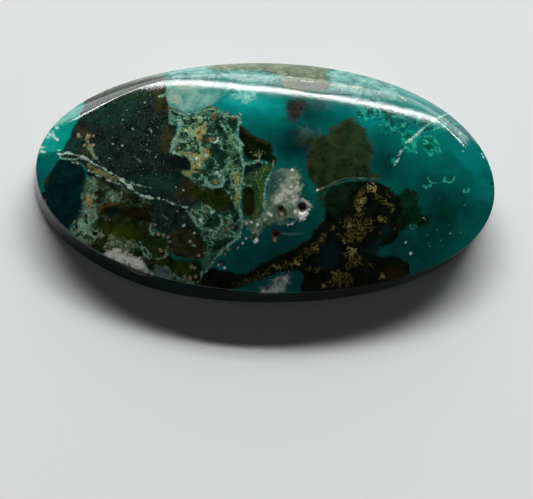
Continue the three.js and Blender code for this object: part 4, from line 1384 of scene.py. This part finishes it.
THREADS = [
    (0.09, [(8.1, 1.9), (8.3, 1.85), (8.25, 1.7), (8.05, 1.7)]),
    (0.08, [(8.6, 2.2), (8.75, 1.9), (8.9, 1.6), (8.95, 1.35)]),
    (0.06, [(8.15, 2.15), (8.4, 2.2), (8.65, 2.2)]),
    (0.1, [(8.2, 1.3), (8.35, 1.15), (8.45, 1.05), (8.55, 1.25), (8.5, 1.4)]),
    (0.08, [(8.7, 1.6), (8.75, 1.35), (8.6, 1.45)]),
    (0.05, [(8, 2.3), (8.5, 2.5), (8.9, 2.8), (9.3, 3)]),
    (0.06, [
        (8.3, -0.2), (8.4, -0.4), (8.5, -0.55), (8.35, -0.7), (8.2, -0.82), (8.05, -0.7), (8.02, -0.55),
    ]),
    (0.05, [(8.5, -0.5), (8.7, -0.45), (8.9, -0.45)]),
    (0.05, [(8.1, -0.65), (8.2, -0.72), (8.35, -0.6)]),
    (0.08, [(9.1, -0.3), (9.15, -0.15), (9.2, -0.05)]),
    (0.04, [(9.2, -0.3), (9.4, -0.35), (9.6, -0.25), (9.7, 0.05)]),
    (0.05, [(10.1, -0.55), (10.2, -0.65), (10.15, -0.8), (10.35, -0.75), (10.5, -0.7), (10.4, -0.55)]),
    (0.06, [(10.2, -1.45), (10.3, -1.4)]),
    (0.05, [(4.7, 3.5), (5, 3.1), (5.2, 3.3), (5.1, 3.7), (4.9, 3.8)]),
    (0.05, [(5.3, 3.1), (5.6, 2.95), (5.9, 3.15), (5.8, 3.6), (5.5, 3.5)]),
    (0.06, [(6.15, 2.5), (6.2, 2.85), (6.5, 3.1), (6.8, 3.2), (7.1, 3.1), (7.2, 2.8), (7, 2.55)]),
    (0.05, [(6.6, 2.5), (6.8, 2.8), (7, 2.7), (6.9, 2.45), (6.6, 2.4)]),
    (0.05, [(5.8, 2.5), (6, 2.6), (6.3, 2.5), (6.5, 2.3), (6.8, 2.25), (7, 2.1)]),
    (0.05, [(6.6, 3.5), (6.9, 3.4), (7.1, 3.5), (7.3, 3.3)]),
    (0.06, [(6.95, 1.2), (7.2, 1.4), (7.4, 1.2), (7.7, 1.15)]),
    (0.06, [(7.1, 1.6), (7.3, 1.9), (7.5, 1.8), (7.6, 1.5)]),
    (0.04, [(10, -2.9), (10.2, -2.8), (10.35, -2.9), (10.2, -3)]),
    (0.05, [(7.45, -2.75), (7.4, -2.9), (7.6, -3), (7.75, -2.85), (7.6, -2.75)]),
    (0.05, [(11.7, -0.1), (11.72, -0.5)]),
]
GREEN_SMUDGES = [
    (9.25, -1.85, 0.2), (9.3, -2.15, 0.22), (9.15, -1.95, 0.2), (8.22, -0.35, 0.09), (8.24, -0.55, 0.11),
    (9.55, -0.1, 0.1), (10.18, -1.35, 0.09), (10.2, -1.55, 0.08), (8.38, 1.95, 0.1), (8.35, 1.55, 0.2),
    (7.2, 1.95, 0.14), (7.3, 2.05, 0.12), (6.7, 2.9, 0.12), (5.5, 3.3, 0.15), (10.3, -2.95, 0.06),
    (6.55, 2.2, 0.12), (8, 1.7, 0.08), (11.68, 0, 0.1),
]
lay("halo", inside(HALO), (0, 0.09, 0.06), (0.003, 0.2, 0.13), "grain", 0.4, 0.2, 0.85)
lay("jade", outlined(JADE), (0, 0.12, 0.085), (0.01, 0.34, 0.22), "grain", 0.4, 0.2, "patches")
lay(
    "smudges", dots(GREEN_SMUDGES), (0, 0.015, 0.006), (0.002, 0.045, 0.022), fray=0.2, soft=0.15,
    cover=0.75,
)
LACE_OVERLAP = 0.1
lace = outlined(LACE_ZONES)
lay("lace", lace + LACE_OVERLAP, (0, 0.2, 0.13), (0.05, 0.46, 0.33), "grain", 0.4, 0.3, "lace")
lay("lace_shade", lace, (0, 0.03, 0.02), (0.002, 0.09, 0.075), "mottle", 0.5, 0.3, "holes")
lay("threads", drawn(THREADS), (0, 0.18, 0.12), (0.05, 0.46, 0.32), "grain", 0.12, 0.07, 0.85)
WHITE_SPECKS = [
    (8.1, -2.35, 0.03), (8.2, -2.45, 0.03), (7.95, -2.4, 0.025), (8.4, -3.6, 0.04), (8.45, -3.75, 0.03),
    (9.5, -3, 0.04), (7.5, -4.2, 0.08), (7.8, -4.5, 0.03), (10.4, -2.9, 0.03), (10.05, 2.65, 0.08),
    (11.28, 1.5, 0.08), (11.22, 1.65, 0.06), (9, -3.4, 0.02), (8.9, -1.3, 0.02), (7.22, -3.68, 0.05),
    (10.15, 1.55, 0.04), (8.3, -3.2, 0.02), (8.8, -2.9, 0.02), (7.6, -2.9, 0.03), (10.2, -0.6, 0.03),
    (10.7, -2.3, 0.02), (9.4, -2.6, 0.02),
]
lay("white_specks", dots(WHITE_SPECKS), (0.14, 0.36, 0.32), (0.7, 0.84, 0.8), "grain", 0.05, 0.06, 0.9)

# %% [markdown]
# ## The crack
#
# One healed crack runs down from the far right. It is a flat silvery plane seen edge on, so it is straight,
# thin, and brightest where it meets the polish. A plane inside the stone would not show, because the stone
# is opaque here, so only its line at the surface is drawn.

# %% Crack
CRACK = [
    (9.6, 4.05), (9.2, 3.65), (8.9, 3.4), (8.5, 3.05), (8.2, 2.75), (7.9, 2.4), (7.6, 2.05), (7.3, 1.75),
    (7.1, 1.6),
]
CRACK_WIDTHS = (0.06, 0.08, 0.1, 0.07, 0.08, 0.1, 0.12, 0.08, 0.03)
CRACK_END = [
    (0.08, [(6.95, 1.2), (6.87, 1.05), (6.75, 0.85)]),
    (0.07, [(6.8, 0.7), (6.68, 0.5)]),
    (0.03, [(6.6, 0.35), (6.5, 0.2)]),
    (0.04, [(8.6, 3.3), (8.9, 3.2), (9.3, 3.1)]),
]
crack = either(along(CRACK, CRACK_WIDTHS), drawn(CRACK_END))
lay("crack", crack, (0.08, 0.34, 0.28), (0.56, 0.76, 0.7), "grain", 0.12, 0.1, 0.85)

# %% [markdown]
# ## The far shoulder
#
# Beyond the crest the layers come out again in bands, so the shoulder is drawn apart from the top. Stripes
# worked out from the height would run level round the stone, but these bands cross the wall, so they are
# outlines too, and the folded plan carries them over the girdle and down. The far wall under them is a
# deeper and more mottled teal than the dome.

# %% Far shoulder
SHORE_TAN = [
    [(-3.6, 7.5), (-3.3, 6.6), (-3.1, 5.7), (-2.5, 5.45), (-1.9, 5.62), (-0.9, 5.5), (0.5, 5.6), (0.8, 4.9),
     (0.7, 4.4), (1.7, 4.3), (3, 4.35), (3.3, 5), (3, 5.8), (3.5, 6.5), (3.1, 7.1), (1.6, 6.8), (0.2, 7.6),
     (-1.4, 7.2), (-2.6, 7.9)],
    [(-9.3, 4.6), (-9.1, 4.1), (-7.6, 4.7), (-6.5, 5), (-5.5, 5.2), (-5.1, 5.9), (-5.6, 6.8), (-6.6, 6.5),
     (-7.6, 6.1), (-8.6, 5.3)],
]
SHORE_AQUA = [
    [(-5, 7.4), (-5.6, 6.3), (-5.3, 5.1), (-4.4, 4.8), (-3.2, 4.8), (-2.3, 5), (-2.4, 5.45), (-3.1, 5.7),
     (-3.2, 6.6), (-3.7, 7.3), (-4.4, 7.9)],
    [(-2.3, 5.55), (-2.4, 4.8), (0.6, 4.5), (0.6, 5.5)],
    [(2.9, 7.2), (3.5, 6.4), (3.1, 5.8), (3.3, 5), (3.2, 4.5), (5, 4.3), (6.5, 4.1), (6.9, 4.9), (6.3, 5.5),
     (7, 6.2), (5.6, 7), (4.6, 6.6), (3.8, 7.6)],
]
SHORE_GREY = [(1.2, 4.5), (3, 4.4), (3, 4.95), (2, 5.05), (1.3, 4.9)]
SHORE_GREEN = [(-7.2, 5.6), (-6.9, 4.9), (-5.6, 5.15), (-4.4, 5.3), (-4.4, 6.1), (-5.6, 6)]
SHORE_STREAKS = [
    (0.07, [(1.2, 5.2), (1.5, 5.1), (1.9, 5), (2.4, 4.98)]),
    (0.05, [(0.9, 5.25), (1.2, 5.2)]),
    (0.06, [(3.3, 4.9), (4.1, 4.8), (4.9, 4.85)]),
    (0.05, [(6.7, 4.8), (6.9, 4.5), (7.2, 4.3)]),
    (0.06, [(-2.3, 5.9), (-2.2, 6.1)]),
    (0.06, [(-2, 5.7), (-1.8, 5.75)]),
    (0.05, [(-1.1, 5.5), (-0.9, 5.5)]),
    (0.05, [(-0.4, 5.7), (-0.3, 5.6)]),
]
SHORE_DARK = [
    (0.12, [(-0.3, 5.62), (-0.05, 5.58), (0.2, 5.5), (0.4, 5.5)]),
    (0.07, [(-0.15, 5.75), (-0.1, 5.85)]),
    (0.05, [(-0.4, 5.9), (-0.2, 5.92)]),
    (0.07, [(0.95, 5.65), (1.1, 5.5)]),
    (0.07, [(0.9, 5.25), (1.05, 5.35)]),
    (0.05, [(1.8, 5.1), (1.85, 5.2)]),
    (0.05, [(-1.15, 5.42), (-1, 5.42)]),
]
CREST_LINE = [
    (0.1, [(-4.95, 4.38), (-4.6, 4.42), (-4.3, 4.42), (-3.9, 4.45), (-3.4, 4.48)]),
    (0.05, [(-5, 3), (-4.6, 2.98), (-4.3, 2.78), (-4.1, 2.65)]),
    (0.07, [(-3.3, 2.8), (-3, 3.05), (-2.7, 3.1), (-2.4, 2.9)]),
]
FAR_WALL_TOP = 0.1
FAR_WALL_FROM = -1
FAR_WALL_FADE = 0.4
far_wall = wall_below(FAR_WALL_TOP, FAR_WALL_FADE * (y - FAR_WALL_FROM))
lay("far_wall", far_wall, (0, 0.02, 0.018), (0, 0.11, 0.1), "mottle", 0.5, 0.5, 0.75)
lay("shore_tan", outlined(SHORE_TAN), (0.03, 0.055, 0.022), (0.14, 0.18, 0.1), "mottle", 0.6, 0.3)
lay("shore_green", inside(SHORE_GREEN), (0.02, 0.07, 0.035), (0.1, 0.2, 0.12), "mottle", 0.4, 0.3, 0.85)
shore_aqua = outlined(SHORE_AQUA)
lay("shore_aqua", shore_aqua, (0.01, 0.13, 0.11), (0.12, 0.32, 0.26), "mottle", 0.7, 0.3)
lay("shore_grey", inside(SHORE_GREY), (0.04, 0.05, 0.045), (0.1, 0.11, 0.1), "grain", 0.4, 0.2, 0.8)
lay("shore_lace", shore_aqua, (0.08, 0.26, 0.23), (0.28, 0.42, 0.38), "grain", 0.4, 0.3, "tangle")
lay("shore_streaks", drawn(SHORE_STREAKS), (0.14, 0.17, 0.1), (0.55, 0.56, 0.45), "grain", 0.15, 0.08)
lay("shore_dark", drawn(SHORE_DARK), (0.002, 0.005, 0.002), (0.02, 0.03, 0.01), "grain", 0.12, 0.08, 0.85)
lay("crest_line", drawn(CREST_LINE), (0.02, 0.035, 0.003), (0.1, 0.12, 0.03), "grain", 0.15, 0.08, 0.85)

# %% [markdown]
# ## Vug linings, the back and the polish
#
# The pits in the middle have a dark ring, and most have a pale grain or a dark hole in it. The back of a
# cabochon is only ground flat, so there the colours are dusty and the surface is matte, while the dome and
# the wall are polished to a mirror. A second material on the back would end in a straight line, so one
# material serves both, and the masks that lay the colours of the back and the rings drive the roughness
# too.

# %% Vug linings
VUG_RINGS = [
    (1.97, -2.28, 0.22), (1, -2.6, 0.25), (0.7, -3.72, 0.24), (0.85, -3.7, 0.16), (-0.37, -3.95, 0.08),
]
lay("vug_rings", dots(VUG_RINGS), (0.006, 0.004, 0.001), (0.07, 0.05, 0.008), "grain", 0.1, 0.1)
VUG_HEARTS = [(2.02, -2.18, 0.07), (0.98, -2.7, 0.1), (0.7, -3.97, 0.1)]
lay("vug_hearts", dots(VUG_HEARTS), (0.07, 0.06, 0.035), (0.26, 0.21, 0.13), "grain", 0.1, 0.1)
# The black dots in three pits are painted shade, for a hole deeper than the pressed bowl.
VUG_HOLE_SHADE = [(1.93, -2.32, 0.1), (0.7, -3.76, 0.09), (-0.38, -3.94, 0.05)]
lay("vug_holes", dots(VUG_HOLE_SHADE), (0, 0, 0), (0.006, 0.005, 0.003), "grain", 0.08, 0.08)

# %% Back
BACK_BELOW = 0.02
BACK_MARGIN = 0.3
back = np.where(z < BACK_BELOW, BACK_MARGIN, -BACK_MARGIN)
lay("ground_back", back, (0.03, 0.09, 0.08), (0.12, 0.2, 0.17), "mottle", 0.1, 0.2)

# %% Polish
POLISHED = 0.07
GROUND_FLAT = 0.6
WHEEL_MARKS = 0.07
MARK_STRENGTH = 0.4
MARK_DEPTH = 0.02 * MM
REFRACTION = 1.54
tree.links.new(surface[-1], shader.inputs["Base Color"])
dull_places = {0: masks["ground_back"], 1: masks["vug_rings"]}
unpolished = wire("ShaderNodeMath", dull_places, operation="MAXIMUM").outputs[0]
roughness = fit(unpolished, 0, 1, POLISHED, GROUND_FLAT)
tree.links.new(roughness, shader.inputs["Roughness"])
shader.inputs["IOR"].default_value = REFRACTION
grain_depth = fit(masks["ground_back"], 0, 1, WHEEL_MARKS, 1)
grain_height = wire("ShaderNodeMath", {0: textures["grain"], 1: grain_depth}, operation="MULTIPLY").outputs[0]
relief = wire("ShaderNodeBump", {"Height": grain_height, "Strength": MARK_STRENGTH, "Distance": MARK_DEPTH})
tree.links.new(relief.outputs["Normal"], shader.inputs["Normal"])
print(len(masks), "minerals laid,", len(tree.nodes), "nodes")

# %% [markdown]
# ## Floor and light
#
# A polished stone is judged by its highlight, so the light is shaped like a window: one narrow, bright
# strip low behind the stone. It draws the white line along the crest of the dome. A dimmer strip below it
# stands for the sill and the wall, and its reflection is the pale haze on the far shoulder. A picture of a
# room could light the stone too, but a lamp can be moved until its reflection falls in the right place.
#
# Two more lamps, the daylight and the room behind the camera, brighten the floor and soften the shadow but
# are kept out of the reflections. The camera sees none of the four.

# %% Floor
FLOOR_SIZE = 2
FLOOR_LOOK = {"Base Color": (0.77, 0.78, 0.78, 1), "Roughness": 0.9, "Specular IOR Level": 0.1}

bpy.ops.object.select_all(action="DESELECT")
bpy.ops.mesh.primitive_plane_add(size=FLOOR_SIZE)
floor = bpy.context.object
floor.name = "floor"
floor_look = bpy.data.materials.new("pale floor")
floor_look.use_nodes = True
for floor_socket, floor_value in FLOOR_LOOK.items():
    floor_look.node_tree.nodes["Principled BSDF"].inputs[floor_socket].default_value = floor_value
floor.data.materials.append(floor_look)
print("floor:", [round(side, 1) for side in floor.dimensions[:2]], "m")

# %% Lights
LIGHT_DISTANCE = 600
ROOM_GREY = (0.02, 0.02, 0.02, 1)


def strip_light(name, azimuth, low, high, width, radiance, mirrored=True):
    """A wide lamp, seen from the stone between two elevations in degrees. Azimuth 0 is behind the stone."""
    elevation = math.radians((low + high) / 2)
    turn = math.radians(azimuth)
    height = 2 * LIGHT_DISTANCE * math.tan(math.radians(high - low) / 2)
    flat = LIGHT_DISTANCE * math.cos(elevation)
    lamp_at = (flat * math.sin(turn), flat * math.cos(turn), LIGHT_DISTANCE * math.sin(elevation))
    bpy.ops.object.light_add(type="AREA", location=[c * MM for c in lamp_at])
    lamp = bpy.context.object
    lamp.name = name
    lamp.rotation_euler = (elevation - math.radians(90), 0, -turn)
    lamp.data.shape = "RECTANGLE"
    lamp.data.size = width * MM
    lamp.data.size_y = height * MM
    lamp.data.energy = radiance * math.pi * lamp.data.size * lamp.data.size_y
    lamp.visible_camera = False
    lamp.visible_glossy = mirrored
    print(name, "shines from", low, "to", high, "degrees")


strip_light("window", azimuth=3, low=34, high=35.8, width=830, radiance=32)
strip_light("daylight", azimuth=3, low=28, high=37.5, width=600, radiance=22, mirrored=False)
strip_light("room behind the camera", azimuth=180, low=35, high=75, width=900, radiance=0.09, mirrored=False)
strip_light("window sill", azimuth=2, low=3, high=30, width=950, radiance=3.3)

world = bpy.data.worlds.new("room")
world.use_nodes = True
world.node_tree.nodes["Background"].inputs["Color"].default_value = ROOM_GREY
bpy.context.scene.world = world
bpy.context.scene.view_settings.view_transform = "Standard"
